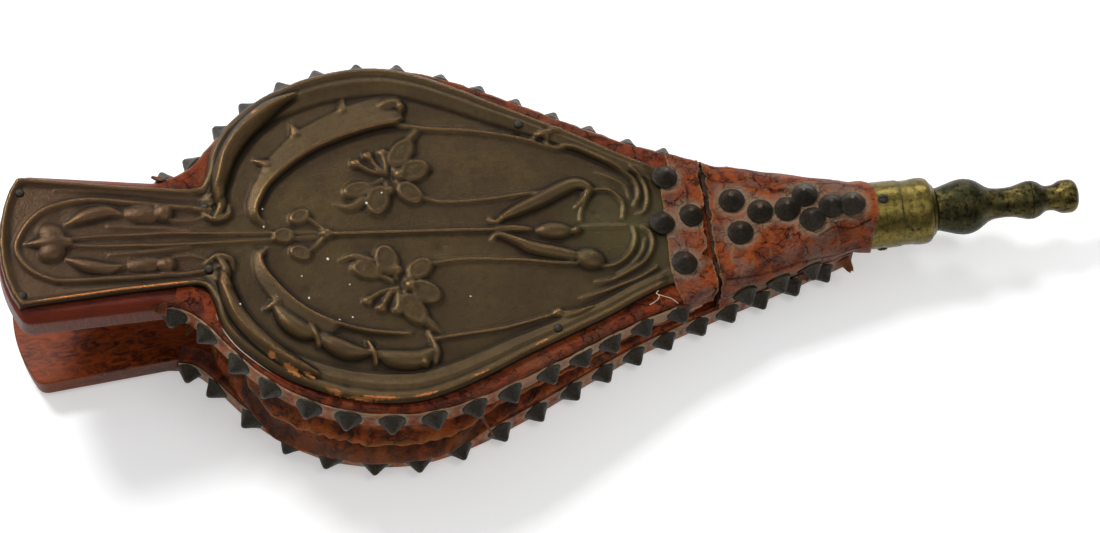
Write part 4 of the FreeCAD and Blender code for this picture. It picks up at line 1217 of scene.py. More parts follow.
def edge_leather(name, curve, span, section, step, dress, mat, **options):
    """A strip on each side; dress(grid, side) gives the final grid, halo and light."""
    parts = Parts()
    for side in FAR_NEAR:
        grid, edge = strip(curve, *span, side, section, step)
        grid, halo, light = dress(grid, side)
        attrs = {"edge": edge, "halo": halo, "crack_and_fold_shade": 0.0, "light": light}
        parts.add(grid, attrs, flip=side > 0)
    parts.build(name, mat, slot="leather", **options)


# How far the facing's edge stands in from the board's, along the normal: -x, share.
GAP_SHARE = table("""0 0.93, 60 0.91, 120 0.97, 140 1.0, 180 0.88, 206 0.72, 215 0.6, 222 0.8,
240 0.95""")


def cover_section(x, side):
    """Leather lying on the board beside the copper and turning over its edge."""
    gap = half_width(TOP_HALF, x) - half_width(FACING_HALF, x)
    gap = np.clip(gap * np.interp(-x, *GAP_SHARE.T), 1.6, 8.5)
    slow = noise1(x * 0.10 + 40 * side, 61, 3)
    quick = noise1(x * 0.45 + 11 * side, 62, 3)
    rows = [(-gap * share, 11.0 + 0.25 * slow + 0.22 * np.sin(share * 5 + 3 * slow)
             + 0.1 * quick, 0) for share in (1.25, 1.0, 0.8, 0.6, 0.4, 0.25)]
    return rows + [(-0.75, 11.05 + 0.2 * slow, 0), (-0.1, 10.75 + 0.15 * slow, 0),
                   (0.45, 10.1, 0), (0.72, 9.2, 0), (0.78, 8.0, 0), (0.75, 5.0, 0),
                   (0.72, 1.0, 0), (0.72, -3.0, 0), (0.3, -3.9, 0), (-1.2, -4.15, 0)]


def under_section(x, side):
    """Leather turned over the lower board's edge, beneath the band."""
    slow = noise1(x * 0.11 + 21 * side, 261, 3)
    quick = noise1(x * 0.4 + 5 * side, 262, 3)
    reach = np.where(x > 12, 2.2, 6.5 + 1.6 * slow)
    rows = [(-reach * share, 14.55 + 0.25 * quick * share + 0.15 * slow, 0.5 * (share > 0.95))
            for share in (1.0, 0.75, 0.5, 0.25)]
    return rows + [(-0.6, 14.6 + 0.15 * slow, 0), (0.1, 14.35 + 0.1 * slow, 0), (0.6, 13.7, 0),
                   (0.78 + 0.06 * quick, 12.6, 0), (0.76, 8.0, 0), (0.74, 2.0, 0),
                   (0.6, 0.9, 0), (0.0, 0.28, 0), (-2.5 + 0.8 * slow, 0.16, 0.4)]


def band_section(low, high, seed, gape=lambda x, side: 0 * x):
    """Narrow band under the studs, a little wavy along its edges."""
    def section(x, side):
        quick = noise1(x * 0.30 + 19 * side, seed + 1, 2)
        top = high + 0.9 * noise1(x * 0.09 + 77 * side, seed, 3) + 0.35 * quick
        bottom = low + 0.6 * noise1(x * 0.12 - 33 * side, seed + 2, 3) + 0.3 * quick
        open_by = gape(x, side)
        out = BAND_OUT + 0.20 * quick
        rows = [(0.75 + open_by * 0.6, top - 1.2, 0.0), (0.85 + open_by * 0.8, top - 0.1, 0.45),
                (1.05 + open_by, top + 0.12, 1.0), (out - 0.12 + open_by, top, 1.0),
                (out + 0.05 + open_by, top - 0.45, 0.35)]
        for t in (0.12, 0.25, 0.38, 0.5, 0.62, 0.75, 0.88):
            swell = 0.18 * np.sin(9 * t + 4 * quick) + 0.12 * noise1(x * 0.5 + 7 * t, seed + 3)
            rows.append((out + swell * np.sin(math.pi * t) + open_by * (1 - t) ** 3 * 0.8,
                         top + (bottom - top) * t, 0.0))
        return rows + [(out, bottom + 0.35, 0.2), (out - 0.25, bottom - 0.05, 0.8),
                       (out - 0.75, bottom - 0.15, 0.6), (0.55, bottom + 0.25, 0.0)]
    return section


def top_gape(x, side):
    """The top band stands off near the nose end, more on the near side."""
    return (0.9 * smooth(-88, -60, x) * (1 - smooth(-8, 4, x))
            * (0.6 + 0.4 * noise1(x * 0.13, 90)) * (1.0 if side < 0 else 0.5))


def dress_cover(grid, side):
    grid = tilted(grid)
    grid[..., 2] += 0.12 * noise3(grid / 2.2, 2, 5)
    return grid, 0.0, 0.35 * smooth(0.1, 0.5, noise3(grid / 14.0, 2, 8))


def dress_top_band(grid, side):
    grid = tilted(grid)
    halo, distance = halo_of(grid, top_places)
    light = 0.5 * smooth(-0.1, 0.5, noise3(grid / 9.0, 2, 9))
    light = np.clip(light + smooth(-70, -30, grid[..., 0]) * 0.5, 0, 1)
    grid[..., 1] -= side * 0.35 * bell(distance, 6.6, 1.3)      # pucker round the studs
    return grid, halo, light


def dress_under(grid, side):
    return grid, 0.0, 0.3 * smooth(0.1, 0.5, noise3(grid / 12.0, 2, 28))


def dress_bottom_band(grid, side):
    light = 0.55 * smooth(-0.2, 0.5, noise3(grid / 9.0, 2, 19))
    return grid, halo_of(grid, bottom_places)[0], light


edge_leather("leather_cover", top_curve, (12.0, -239.5), cover_section, 0.7, dress_cover,
             LEATHER, body="top")
edge_leather("band_top", top_curve, (12.4, -241.0), band_section(-2.6, 8.9, 100, top_gape),
             0.55, dress_top_band, BAND_LEATHER, body="top", replaces=("top_edge_band",))
edge_leather("leather_cover_lower", bottom_curve, (89.0, -240.5), under_section, 0.8,
             dress_under, LEATHER, body="base")
edge_leather("band_bottom", bottom_curve, (89.5, -240.0), band_section(1.2, 12.9, 200), 0.55,
             dress_bottom_band, BAND_LEATHER, body="base", replaces=("bottom_edge_band",))

# ------------------------------------------------------- leather between the two boards
GUSSET_REAR = table("-213.5 48.0, -218.6 38.0, -221.6 26.0, -223.0 13.0, -223.4 0.0")
GUSSET_COUNT, GUSSET_ROWS = 760, 46


def bridge(name, grid, crack_and_fold_shade, light, weights):
    """Leather sheet that spans both boards. weights (0 is the base and 1 the top) is not used.
    """
    thing = sheet(name, grid, {"edge": 0.0, "halo": 0.0, "crack_and_fold_shade": crack_and_fold_shade, "light": light},
                  GUSSET, slot="gusset")
    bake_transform(thing)
    weights = np.ascontiguousarray(np.broadcast_to(weights, grid.shape[:2]), np.float32)
    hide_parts("gusset_leather")


def gusset_line(curve, rear):
    side = curve[(curve[:, 0] <= 11.0) & (curve[:, 0] >= -208.0)]
    line = np.vstack([side, rear])
    return resample(np.vstack([line, line[::-1][1:] * [1, -1]]), count=GUSSET_COUNT)


def gusset():
    top_line = gusset_line(top_curve, GUSSET_REAR)
    base_line = gusset_line(bottom_curve, GUSSET_REAR + [0.6, 0])
    normal = outward(top_line)
    t = np.linspace(0, 1, GUSSET_ROWS)[None, :]
    base = np.c_[base_line, np.full(GUSSET_COUNT, 13.6)]
    top = tilted(np.c_[top_line, np.full(GUSSET_COUNT, -3.4)])
    gap = (top[:, 2] - base[:, 2])[:, None]
    x = top_line[:, :1]
    near = top_line[:, 1:] < 0
    steps = np.linalg.norm(np.diff(top_line, axis=0), axis=1)
    length = np.r_[0, np.cumsum(steps)][:, None]
    lobe = np.sin(math.pi * t)
    # upright pleats, strongest at the handle end
    phase = length / 9.5 + noise1(length * 0.045, 300, 2) * 2.2
    pleat = np.abs((phase % 1.0) * 2 - 1) ** 0.8 - 0.5
    side_share = smooth(-214, -196, x)
    # lengthwise folds along the sides
    wave = 2.5 * np.sin(2 * math.pi * (1.7 * t + 0.20 + 0.30 * noise1(length * 0.012, 31)))
    wave = wave + 1.3 * np.sin(2 * math.pi * (3.4 * t + 0.9 * noise1(length * 0.020, 37)))
    folds = np.clip(gap / 22.0, 0.15, 1.15) * wave * lobe ** 0.6 * (0.45 + 0.55 * side_share)
    # bulge hanging out on the near side
    sag = smooth(-212, -188, x) * (1 - smooth(-118, -84, x)) * near
    offset = 0.35 - 0.16 * gap * lobe ** 0.9 * (1 - 0.9 * sag)
    offset = offset + pleat * 0.10 * gap * lobe * (1 - 0.62 * side_share) + folds
    offset = offset + sag * (6.4 * bell(t, 0.20, 0.15) + 2.6 * bell(t, 0.62, 0.13)
                             * (0.6 + 0.4 * noise1(length * 0.06, 5)))
    place = np.stack(np.broadcast_arrays(length / 13.0, t * 3.2, 0.0), -1)
    offset = offset + 0.9 * noise3(place, 3, 55) * lobe * np.clip(gap / 14, 0.2, 1)
    crease = np.sin(t * math.pi * 3 + 0.9 * noise1(length * 0.03, 17)) * 0.05
    offset = offset + crease * gap * lobe * smooth(-214, -204, x)
    droop = sag * (3.2 * bell(t, 0.18, 0.14) + 1.2 * noise1(length * 0.09, 71))
    grid = base[:, None, :] * (1 - t[..., None]) + top[:, None, :] * t[..., None]
    grid[..., 0] += normal[:, :1] * offset
    grid[..., 1] += normal[:, 1:] * offset
    grid[..., 2] += 0.03 * gap * noise1(length * 0.11, 12) * lobe - droop * lobe ** 0.5 * 1.4
    crumple = 0.16 * noise3(grid / 2.4, 2, 77) * lobe
    grid = grid + crumple[..., None] * np.array([0.5, 0.5, 0.7])
    # painted shade: darker in the pleats' creases and in the troughs of the lengthwise folds,
    # kept with the cracks
    crack_and_fold_shade = smooth(0.30, 0.0, np.abs(pleat + 0.5)) * 0.35 * lobe * (1 - 0.8 * side_share)
    crack_and_fold_shade = crack_and_fold_shade + 0.75 * smooth(0.25, -0.9, wave / 3.0) * lobe ** 0.5
    torn = smooth(-217, -211, x) * (1 - smooth(-200, -184, x)) * near
    torn = torn * (0.55 + 0.9 * noise3(grid / 5.0, 3, 88))
    crack_and_fold_shade = np.clip(crack_and_fold_shade + 0.8 * np.clip(torn, 0, 1) * lobe ** 0.4, 0, 0.9)
    # painted highlight on the folds' crests and on the bulge, with pale patches from the noise
    light = (0.55 * smooth(0.35, 1.0, wave / 3.0) * lobe
             + 0.3 * smooth(0.1, 0.5, noise3(grid / 10.0, 3, 14))
             + 0.25 * sag * bell(t, 0.2, 0.12))
    bridge("leather_gusset", grid, crack_and_fold_shade, light, t)


def front_fold():
    """Leather arch closing the bellows between the boards' front end and the nose."""
    along = np.linspace(0, 1, 30)[:, None]
    across = np.linspace(-1, 1, 190)[None, :]
    radius, top, foot, end = 3.0, 33.6, 13.5, 21.6
    x = 5.0 + 16.6 * along + 0 * across
    for _ in range(3):          # x and the section depend on each other
        flat = np.interp(x, [0, 14, 19, 24], [40.0, 34.4, 33.4, 31.8]) - 1.9 - radius
        bend = radius * math.pi / 2
        arc = np.abs(across) * (flat + bend + (top - radius - foot))
        angle = np.clip((arc - flat) / radius, 0, math.pi / 2)
        y = np.minimum(arc, flat) + radius * np.sin(angle)
        z = top - radius + radius * np.cos(angle) - np.clip(arc - flat - bend, 0, 99)
        start = 5.0 + 7.7 * smooth(19.5, 22.5, z)
        x = start + (end - start) * along
    grid = np.stack([x, y * np.sign(across), z], -1)
    free = smooth(0, 0.12, along) * (1 - smooth(0.88, 1, along))
    free = free * (1 - smooth(0.93, 1.0, np.abs(across)))
    ripple = 0.45 * np.sin(x * 1.5 + 2.0 * noise3(grid / 6.0, 2, 702))
    offset = (0.55 * noise3(grid / 3.2, 3, 701) + ripple - 0.35) * free
    grid[..., 1] += np.sin(angle) * np.sign(across) * offset
    grid[..., 2] += np.cos(angle) * offset
    crack_and_fold_shade = np.clip(0.35 + 0.5 * noise3(grid / 2.5, 2, 703), 0, 0.9)
    weights = np.clip((19.0 - x) / 5.5, 0, 1) * np.clip((grid[..., 2] - 14.0) / 6.5, 0, 1)
    bridge("leather_front_fold", grid, crack_and_fold_shade, 0.0, weights)


gusset()
front_fold()


# ----------------------------------------------------------------------- nose and hinge
def thick_sheet(name, grid, normal_y, normal_z, attrs, end_shifts=(0, 0), **options):
    """Sheet with a row turned in at both free ends, which shows its thickness."""
    inner = grid.copy()
    inner[..., 1] -= normal_y * 1.1
    inner[..., 2] -= normal_z * 1.1
    inner[0, :, 0] += end_shifts[0]
    inner[-1, :, 0] += end_shifts[1]
    grid = np.concatenate([inner[:1], grid, inner[-1:]], 0)
    shape = inner.shape[:2]
    attrs = {key: np.pad(np.broadcast_to(values, shape), ((1, 1), (0, 0)), "edge")
             for key, values in attrs.items()}
    if "place" in options:
        grid = options.pop("place")(grid)
    sheet(name, grid, attrs, NOSE_LEATHER, flip=True, slot="leather", **options)


def nose_section(x, count):
    """Section of the wrap at x, from the near lower edge over the top to the far one."""
    foot, width, top, radius = nose_size(min(x, NOSE_X + NOSE_LENGTH)) + 1.6
    low, flat, centre = 14.2, width - radius, top - radius
    middle = (foot + (width - foot) * 0.5, low + (centre - low) * 0.5)
    path = [(-foot, low), (-middle[0], middle[1])]
    path += [(-flat + radius * math.cos(angle), centre + radius * math.sin(angle))
             for angle in np.linspace(math.pi, math.pi / 2, 14)]
    path += [(flat + radius * math.cos(angle), centre + radius * math.sin(angle))
             for angle in np.linspace(math.pi / 2, 0, 14)]
    return resample(np.array(path + [middle, (foot, low)]), count=count)


def nose_circle(radius, count):
    drop = math.asin((AXIS_Z - 14.6) / radius)
    angle = np.linspace(math.pi + drop, -drop, count)
    return np.stack([radius * np.cos(angle), AXIS_Z + radius * np.sin(angle)], -1)


# Paths on the nose leather: x, and across from -1 (near) to 1 (far).
# Cracks: width in x, width across, depth, darkness, path.
NOSE_CRACKS = (
    (0.7, 0.012, 0.55, 0.75, "21 -0.06, 30 -0.10, 41 -0.05, 52 -0.10, 60 -0.02"),
    (0.7, 0.011, 0.45, 0.7, "38 0.34, 50 0.30, 62 0.36, 74 0.30, 84 0.34"),
    (0.8, 0.012, 0.5, 0.8, "24 0.55, 40 0.58, 58 0.62, 76 0.66, 92 0.70"),
    (0.8, 0.014, 0.6, 0.9, "24 -0.58, 42 -0.62, 60 -0.60, 78 -0.66, 90 -0.64"),
    (0.6, 0.011, 0.5, 0.8, "70 -0.34, 78 -0.28, 86 -0.33, 95 -0.26"),
    (0.6, 0.011, 0.4, 0.7, "26 0.20, 33 0.30, 37 0.22"))
NOSE_SEAMS = ("45.0 -0.12, 46.0 -0.34, 44.6 -0.62", "64.5 -0.22, 65.6 -0.40, 64.8 -0.60",
              "41.0 0.10, 40.2 0.30, 42.0 0.50", "76.0 -0.20, 79.0 -0.40, 78.0 -0.55",
              "30.0 -0.24, 27.0 -0.40, 28.6 -0.52")


def nearness(x, across, path, width_x, width_across):
    """Distance to the points of a path, in its widths."""
    best = np.full(x.shape, 9.0)
    for path_x, path_across in path:
        best = np.minimum(best, np.hypot((x - path_x) / width_x,
                                         (across - path_across) / width_across))
    return best


def nose_leather(rows=300, count=240):
    across = np.linspace(-1, 1, count)
    along = np.linspace(0, 1, rows)[:, None]
    jagged = 1.6 * noise1(across * 6.0, 401, 4) + 1.5 * noise1(across * 17.0, 402, 3)
    back = (20.0 + jagged + 1.3 * bell(across, 0.30, 0.25)
            - 0.6 * (np.abs(across) > 0.75))
    front = (99.4 + 0.8 * noise1(across * 3.0, 403, 3) - 7.0 * smooth(0.08, 0.62, across)
             - 3.6 * smooth(0.1, 0.6, -across))
    x = back[None, :] + along * (front - back)[None, :]
    # sections at fixed stations, passing over into the ferrule's circle
    stations = np.linspace(14.0, 101.0, 175)
    circle = nose_circle(17.2, count)
    sections = []
    for station in stations:
        share = smooth(84, 92, station)
        sections.append(nose_section(station, count) * (1 - share) + circle * share)
    sections = np.array(sections)
    index = np.clip((x - stations[0]) / (stations[1] - stations[0]), 0, len(stations) - 1.001)
    whole = index.astype(int)
    part = (index - whole)[..., None]
    column = np.broadcast_to(np.arange(count), x.shape)
    section = sections[whole, column] * (1 - part) + sections[whole + 1, column] * part
    grid = np.concatenate([x[..., None], section], -1)
    run = np.gradient(section, axis=1)
    length = np.maximum(np.linalg.norm(run, axis=2), 1e-9)
    normal_y, normal_z = -run[..., 1] / length, run[..., 0] / length

    halo, distance = halo_of(grid, nose_top_places + nose_side_places, 5.8, 11.0)
    offset = 0.65 * noise3(grid / (17.0, 9.0, 9.0), 3, 410)
    offset += 0.22 * noise3(grid / (4.0, 3.0, 3.0), 3, 411)
    swirl = 0.25 * np.sin(x * 0.35 + 3.0 * noise3(grid / 15.0, 2, 412))
    offset += swirl * smooth(0.2, 0.9, np.abs(across))[None, :]
    crumple = 1.3 * noise3(grid / 6.0, 3, 433) * (1 - smooth(22, 34, x))
    offset += crumple * (0.35 + 0.65 * smooth(0.1, 0.5, across))
    offset += 0.5 * (1 - smooth(20.5, 25, x))
    offset += 0.5 * bell(along, 0, 0.02) - 0.55 * bell(distance, 6.4, 1.5)
    crack_and_fold_shade = np.zeros(x.shape)
    for width_x, width_across, depth, darkness, text in NOSE_CRACKS:
        path = resample(spline(table(text), 6), count=60)
        path[:, 1] += 0.012 * noise1(np.arange(60) * 0.35 + depth * 10, 7)
        near = nearness(x, across, path, width_x, width_across)
        offset -= depth * np.exp(-near ** 2)
        crack_and_fold_shade = np.maximum(crack_and_fold_shade, darkness * np.exp(-(near * 1.5) ** 2))
    seam = np.zeros(x.shape)
    for text in NOSE_SEAMS:
        path = resample(spline(table(text), 6), count=50)
        seed = int(path[0, 0])
        path[:, 0] += 0.3 * noise1(path[:, 1] * 40, 3)
        ridge = bell(nearness(x, across, path, 0.55, 0.010), 0, 1)
        ridge = ridge * smooth(-0.35, 0.3, noise3(grid / 4.0, 2, seed))
        offset += 0.22 * ridge
        seam = np.maximum(seam, 0.7 * ridge)
    grid[..., 1] += normal_y * offset
    grid[..., 2] += normal_z * offset

    light = 0.75 * smooth(0.12, 0.55, noise3(grid / 14.0, 3, 420))
    light = light + 0.30 * bell(x, 34, 12.0) * bell(grid[..., 1], 2, 12.0)
    low_near = smooth(0.42, 0.6, -across) * (1 - smooth(0.66, 0.72, -across))
    light = light + 0.45 * low_near * smooth(-0.1, 0.4, noise3(grid / 11.0, 2, 425))
    edge = (bell(along, 0, 0.010) + bell(along, 1, 0.010)) * 0.55 + 0.75 * seam
    attrs = {"halo": halo, "edge": np.clip(edge, 0, 1), "crack_and_fold_shade": crack_and_fold_shade, "light": light}
    thick_sheet("leather_nose", grid, normal_y, normal_z, attrs, end_shifts=(0.25, -0.2),
                body="base", replaces=("nose_leather",))


# Cracks across the hinge leather: x, width, reach across, middle across.
HINGE_CRACKS = table("""5.0 0.5 0.10 -0.30,  9.0 0.5 0.12 0.32
0.5 0.45 0.09 0.62,  12.5 0.5 0.16 0.05""", 4)


def hinge_leather(rows=120, count=260):
    across = np.linspace(-1, 1, count)
    along = np.linspace(0, 1, rows)[:, None]
    side = np.sign(across)[None, :]
    # ragged back and front edges
    back = (-3.4 + 0.9 * noise1(across * 5.0, 501, 3) + 0.4 * noise1(across * 17.0, 505, 2)
            - 0.8 * bell(across, -0.4, 0.2) + 5.2 * smooth(0.42, 0.62, across)
            + 3.2 * smooth(0.55, 0.85, -across))
    front = 16.8 + 1.2 * noise1(across * 7.0, 502, 4) + 1.3 * noise1(across * 19.0, 503, 3)
    for depth, centre, width in ((2.4, -0.12, 0.22), (0.8, 0.52, 0.10), (1.8, 0.16, 0.035),
                                 (4.4, -0.36, 0.055)):
        front = front - depth * bell(across, centre, width)
    x = back[None, :] + along * (front - back)[None, :]
    width = half_width(TOP_HALF, x) + 2.1 - np.maximum(x - TOP_HALF[0, 0], 0) * 0.33
    # across the section: flat top, rounded shoulder, short drop down the side
    radius = 3.4
    drop = 7.5 + 1.2 * noise1(across * 3 + 9, 504)[None, :]
    flat, bend = width - radius, radius * math.pi / 2
    arc = np.abs(across)[None, :] * (flat + bend + drop)
    angle = np.clip((arc - flat) / radius, 0, math.pi / 2)
    y = np.where(arc < flat, arc, flat + radius * np.sin(angle)) * side
    off_copper = np.interp(np.minimum(arc, flat), [0, 31, 36], [0, 0, -1.2])
    z = (np.interp(x, [-11, 2, 17, 20], [13.15, 13.2, 12.5, 12.3])
         + off_copper * (1 - smooth(0, 6, x) * 0.5)
         - radius * (1 - np.cos(angle)) - np.clip(arc - flat - bend, 0, 99))
    grid = np.stack([x, y, z], -1)

    halo, distance = halo_of(grid, hinge_places, 5.8, 10.5)
    relief = 0.35 * sample(HEIGHT, np.minimum(x, -1.5), y)      # the copper shows through
    offset = 0.5 * noise3(grid / 8.0, 3, 510) + 0.2 * noise3(grid / 2.6, 2, 511)
    offset += np.where((np.abs(y) < 28) & (x < 0), relief, 0.0)
    offset += 0.55 * bell(along, 1, 0.05) - 0.2 * bell(along, 0, 0.04)
    offset -= 0.5 * bell(distance, 6.4, 1.5)
    normal_y, normal_z = np.sin(angle) * side, np.cos(angle)
    grid[..., 1] += normal_y * offset
    grid[..., 2] += normal_z * offset
    crack_and_fold_shade = np.zeros(x.shape)
    for centre, width, reach, middle in HINGE_CRACKS:
        line = centre + 1.2 * noise1(across * 14, int(centre * 10) + 520, 3)
        ends = np.exp(-((across - middle) / reach) ** 4)
        crack_and_fold_shade = np.maximum(crack_and_fold_shade, bell(x, line[None, :], width) * ends[None, :])
    grid[..., 2] -= 0.45 * crack_and_fold_shade * normal_z
    light = 0.7 * smooth(0.0, 0.5, noise3(grid / 9.0, 3, 530)) * (1 - smooth(9, 14, x))
    edge = (bell(along, 0, 0.03) + bell(along, 1, 0.03)) * 0.7
    attrs = {"halo": halo, "edge": edge, "crack_and_fold_shade": crack_and_fold_shade, "light": light + 0.35 * bell(x, 0, 8.0)}
    thick_sheet("leather_hinge", grid, normal_y, normal_z, attrs, place=tilted, body="top",
                replaces=("hinge_leather",))


nose_leather()
hinge_leather()

# ------------------------------------------------------------------- ferrule and nozzle
# Turned profiles: x, radius.
FERRULE_PROFILE = table("""90.6 15.0, 90.5 15.6, 90.8 16.0, 100 16.02, 110.6 15.95, 111.2 15.55,
112.2 15.5, 116.6 15.5, 118.6 15.8, 121 16.0, 124 15.8, 125.8 15.0, 127.0 13.4, 128.2 12.3,
128.9 10.9, 129.0 9.2, 128.9 8.3""")
NOZZLE_PROFILE = table("""128.6 6.0, 129.1 9.9, 131.0 10.4, 133.3 11.1, 135.6 11.8, 139.5 12.9,
143.3 13.4, 146.5 13.0, 149.5 11.9, 152.0 10.3, 154.1 8.85, 156.3 7.8, 158.6 7.35, 163.1 7.1,
167.8 7.5, 170.8 8.3, 173.3 8.95, 175.1 9.2, 175.5 9.1, 175.8 8.75, 176.1 9.1, 176.6 9.2,
178.3 8.8, 180.1 8.0, 182.0 6.7, 184.0 6.05, 187.3 6.3, 189.3 7.2, 191.2 7.9, 194.0 8.1,
196.0 7.9, 197.6 7.0, 198.5 5.6, 198.8 4.4, 198.6 3.7, 197.6 3.5, 190 3.5, 175 3.5, 150 3.5""")


def ferrule():
    profile = spline(FERRULE_PROFILE, 4)
    x, radius = profile[:, :1], profile[:, 1:]
    angle = np.linspace(0, 2 * math.pi, 120, endpoint=False)
    grid = around_axis(x, radius, angle)
    bumps = 0.16 * noise3(grid / 8.0, 2, 601) + 0.05 * noise3(grid / 2.0, 2, 602)
    dents = (0.55 * bell(x, 119, 2.4) * bell(angle, 1.9, 0.16)
             + 0.4 * bell(x, 106, 3.0) * bell(angle, 2.5, 0.2))
    grid = around_axis(x, np.maximum(radius + bumps - dents, 7.9), angle)
    patina = 0.5 * smooth(0.0, 0.6, noise3(grid / 6.0, 3, 603)) + bell(x, 111.4, 0.9) * 0.8
    sheet("ferrule_tube", grid, {"patina": np.clip(patina, 0, 1)}, FERRULE_BRASS, wrap=True,
          flip=True, body="base", replaces=("ferrule",), slot="brass")


def nozzle():
    profile = spline(NOZZLE_PROFILE, 5)
    x, radius = profile[:, :1], np.maximum(profile[:, 1:], 3.45)
    angle = np.linspace(0, 2 * math.pi, 110, endpoint=False)
    grid = around_axis(x, radius, angle)
    bumps = 0.09 * noise3(grid / 5.0, 2, 611) + 0.03 * noise3(grid / 1.6, 2, 612)
    dent = 0.4 * bell(x, 193, 1.6) * bell(angle, 1.2, 0.2)
    grid = around_axis(x, radius + bumps - dent, angle)
    patina = (0.95 * smooth(127, 133, x) * (1 - smooth(149, 155, x))
              + 0.55 * smooth(168, 173, x) * (1 - smooth(178, 183, x)))
    patina = (0.52 + 0.5 * patina + 0.55 * noise3(grid / 5.0, 3, 613)
              - 0.12 * smooth(186, 192, x) + 0.1 * bell(x, 160, 8.0))
    sheet("nozzle_turned", grid, {"patina": np.clip(patina, 0, 1)}, NOZZLE_BRASS, wrap=True,
          flip=True, body="base", replaces=("nozzle",), slot="nozzle_brass")


ferrule()
nozzle()

# ----------------------------------------------------------------------- small fixings
# Head profiles: height, radius.
PIN_HEAD = table("-0.4 2.15, 0.0 2.2, 0.5 2.0, 0.9 1.35, 1.1 0.6, 1.15 0.02")
SCREW_HEAD = table("-0.5 2.4, 0.0 2.45, 0.5 2.3, 0.95 1.6, 1.12 0.9, 1.2 0.02")
MARK_HEAD = table("0.0 0.75, 0.2 0.7, 0.27 0.4, 0.28 0.02")


def head(parts, place, direction, profile, seed, attrs, segments=24, slot_half=0.0):
    """Round head on a surface, with a slot if slot_half is above 0."""
    axis_x, axis_y, axis = axes_about(direction)
    profile = spline(profile, 3)
    angle = np.linspace(0, 2 * math.pi, segments, endpoint=False)
    radius = profile[:, 1:] * (1 + 0.03 * noise1(angle * 1.5, seed))[None, :]
    x, y = radius * np.cos(angle), radius * np.sin(angle)
    height = profile[:, :1] - 0.45 * (np.abs(x) < slot_half) * (profile[:, :1] > 0.5)
    grid = (place + x[..., None] * axis_x + y[..., None] * axis_y
            + height[..., None] * axis)
    parts.add(grid, attrs, wrap=True, flip=True)


def facing_pins():
    pins = Parts()
    places = table("""-302.4 26.6, -302.4 -26.6, -219.0 16.5, -219.0 -16.5, -68.0 56.0,
-62.0 -53.6""")
    for i, (x, y) in enumerate(places):
        head(pins, tilted((x, y, copper_top(x, y) - 0.15)), turned_up(UPRIGHT), PIN_HEAD,
             seed=i, attrs={"hgt": 0.4, "sid": 0.2})
    pins.build("pins_facing", IRON, body="top", replaces=("facing_pins",), slot="brass")


def ferrule_screws():
    screws = Parts()

    def on_ferrule(x, degrees, radius):
        angle = math.radians(degrees)
        normal = np.array((0.0, math.cos(angle), math.sin(angle)))
        return np.array((x, 0, AXIS_Z)) + normal * radius, normal

    for degrees in (90.0, 210.0, 330.0):
        head(screws, *on_ferrule(102.5, degrees, 16.0), SCREW_HEAD, seed=int(degrees),
             attrs={"hgt": 0.5, "sid": 0.1}, segments=40, slot_half=0.34)
    # two small dark punch marks on the near side
    for x, degrees, radius in ((115.2, 152.0, 15.55), (118.0, 151.0, 15.68)):
        head(screws, *on_ferrule(x, degrees, radius), MARK_HEAD, seed=3,
             attrs={"hgt": 0.5, "sid": 0.0})
    screws.build("screws_ferrule", IRON, body="base", replaces=("ferrule_screws",),
                 slot="brass")


facing_pins()
ferrule_screws()


# --------------------------------------------------------- thread, flecks, torn shreds
def plain_material(name, first, second):
    mat = Shader(name)
    color = mat.mix(mat.step(mat.noise(1.5), 0.3, 0.7), first, second)
    bumps = mat.noise(3.0, detail=3, rough=0.55)
    return mat.finish(color, 0.8, mat.bump(bumps, distance=0.0002, strength=0.6))


THREAD = plain_material("pale_thread", rgb(214, 200, 176), rgb(180, 160, 130))
FLECK = plain_material("plaster_fleck", rgb(226, 222, 212), rgb(196, 190, 178))
# Loose threads in the top board's frame: x, y, z.
THREADS = (table("""-17.5 -43.5 14.3, -15 -42.4 15.0, -13.2 -41.0 15.1, -12.4 -39.0 14.6,
-13.4 -37.4 14.2, -12.0 -36.0 13.6""", 3),
           table("-12.6 -38.4 14.4, -9.5 -39.8 14.9, -6.4 -40.9 14.5, -3.6 -42.9 13.4", 3))
# Flecks, in the drawing's frame: x, y.
FLECKS = table("""-164 -12, -176.5 -20, -155 -25, -174 -31, -155 -41.3, -161 -42.3, -136.5 20,
-144 15, -192 14, -192 5, -205.5 -35, -100 -33""")


def tube(path, radius, segments=8):
    along = np.gradient(path, axis=0)
    along /= np.linalg.norm(along, axis=1, keepdims=True)
    angle = np.linspace(0, 2 * math.pi, segments, endpoint=False)[None, :, None]
    axis_x = np.cross(along, [0.13, 0.27, 0.95])
    axis_x /= np.linalg.norm(axis_x, axis=1, keepdims=True)
    axis_y = np.cross(along, axis_x)
    radius = np.broadcast_to(radius, (len(path),))[:, None, None]
    return path[:, None, :] + radius * (np.cos(angle) * axis_x[:, None, :]
                                        + np.sin(angle) * axis_y[:, None, :])


def loose_threads():
    threads = Parts()
    for path in THREADS:
        threads.add(tube(tilted(spline(path, 8)), 0.17), {"x": 0.0}, wrap=True)
    # pale line along the near edge of the copper
    line = facing_line[(facing_line[:, 0] < -192) & (facing_line[:, 0] > -216.5)]
    place = (line + outward(line) * 0.95) * (1, -1)
    path = tilted(np.c_[place, 11.2 + 0.25 * noise1(line[:, 0] * 0.4, 88)])
    swell = np.sin(np.linspace(0.15, 3.0, len(line)))
    swell = swell * (0.7 + 0.5 * noise1(line[:, 0] * 0.7, 89))
    threads.add(tube(path, 0.34 * np.clip(swell, 0.12, 1)), {"x": 0.0}, wrap=True)
    threads.build("thread_loose", THREAD, body="top")


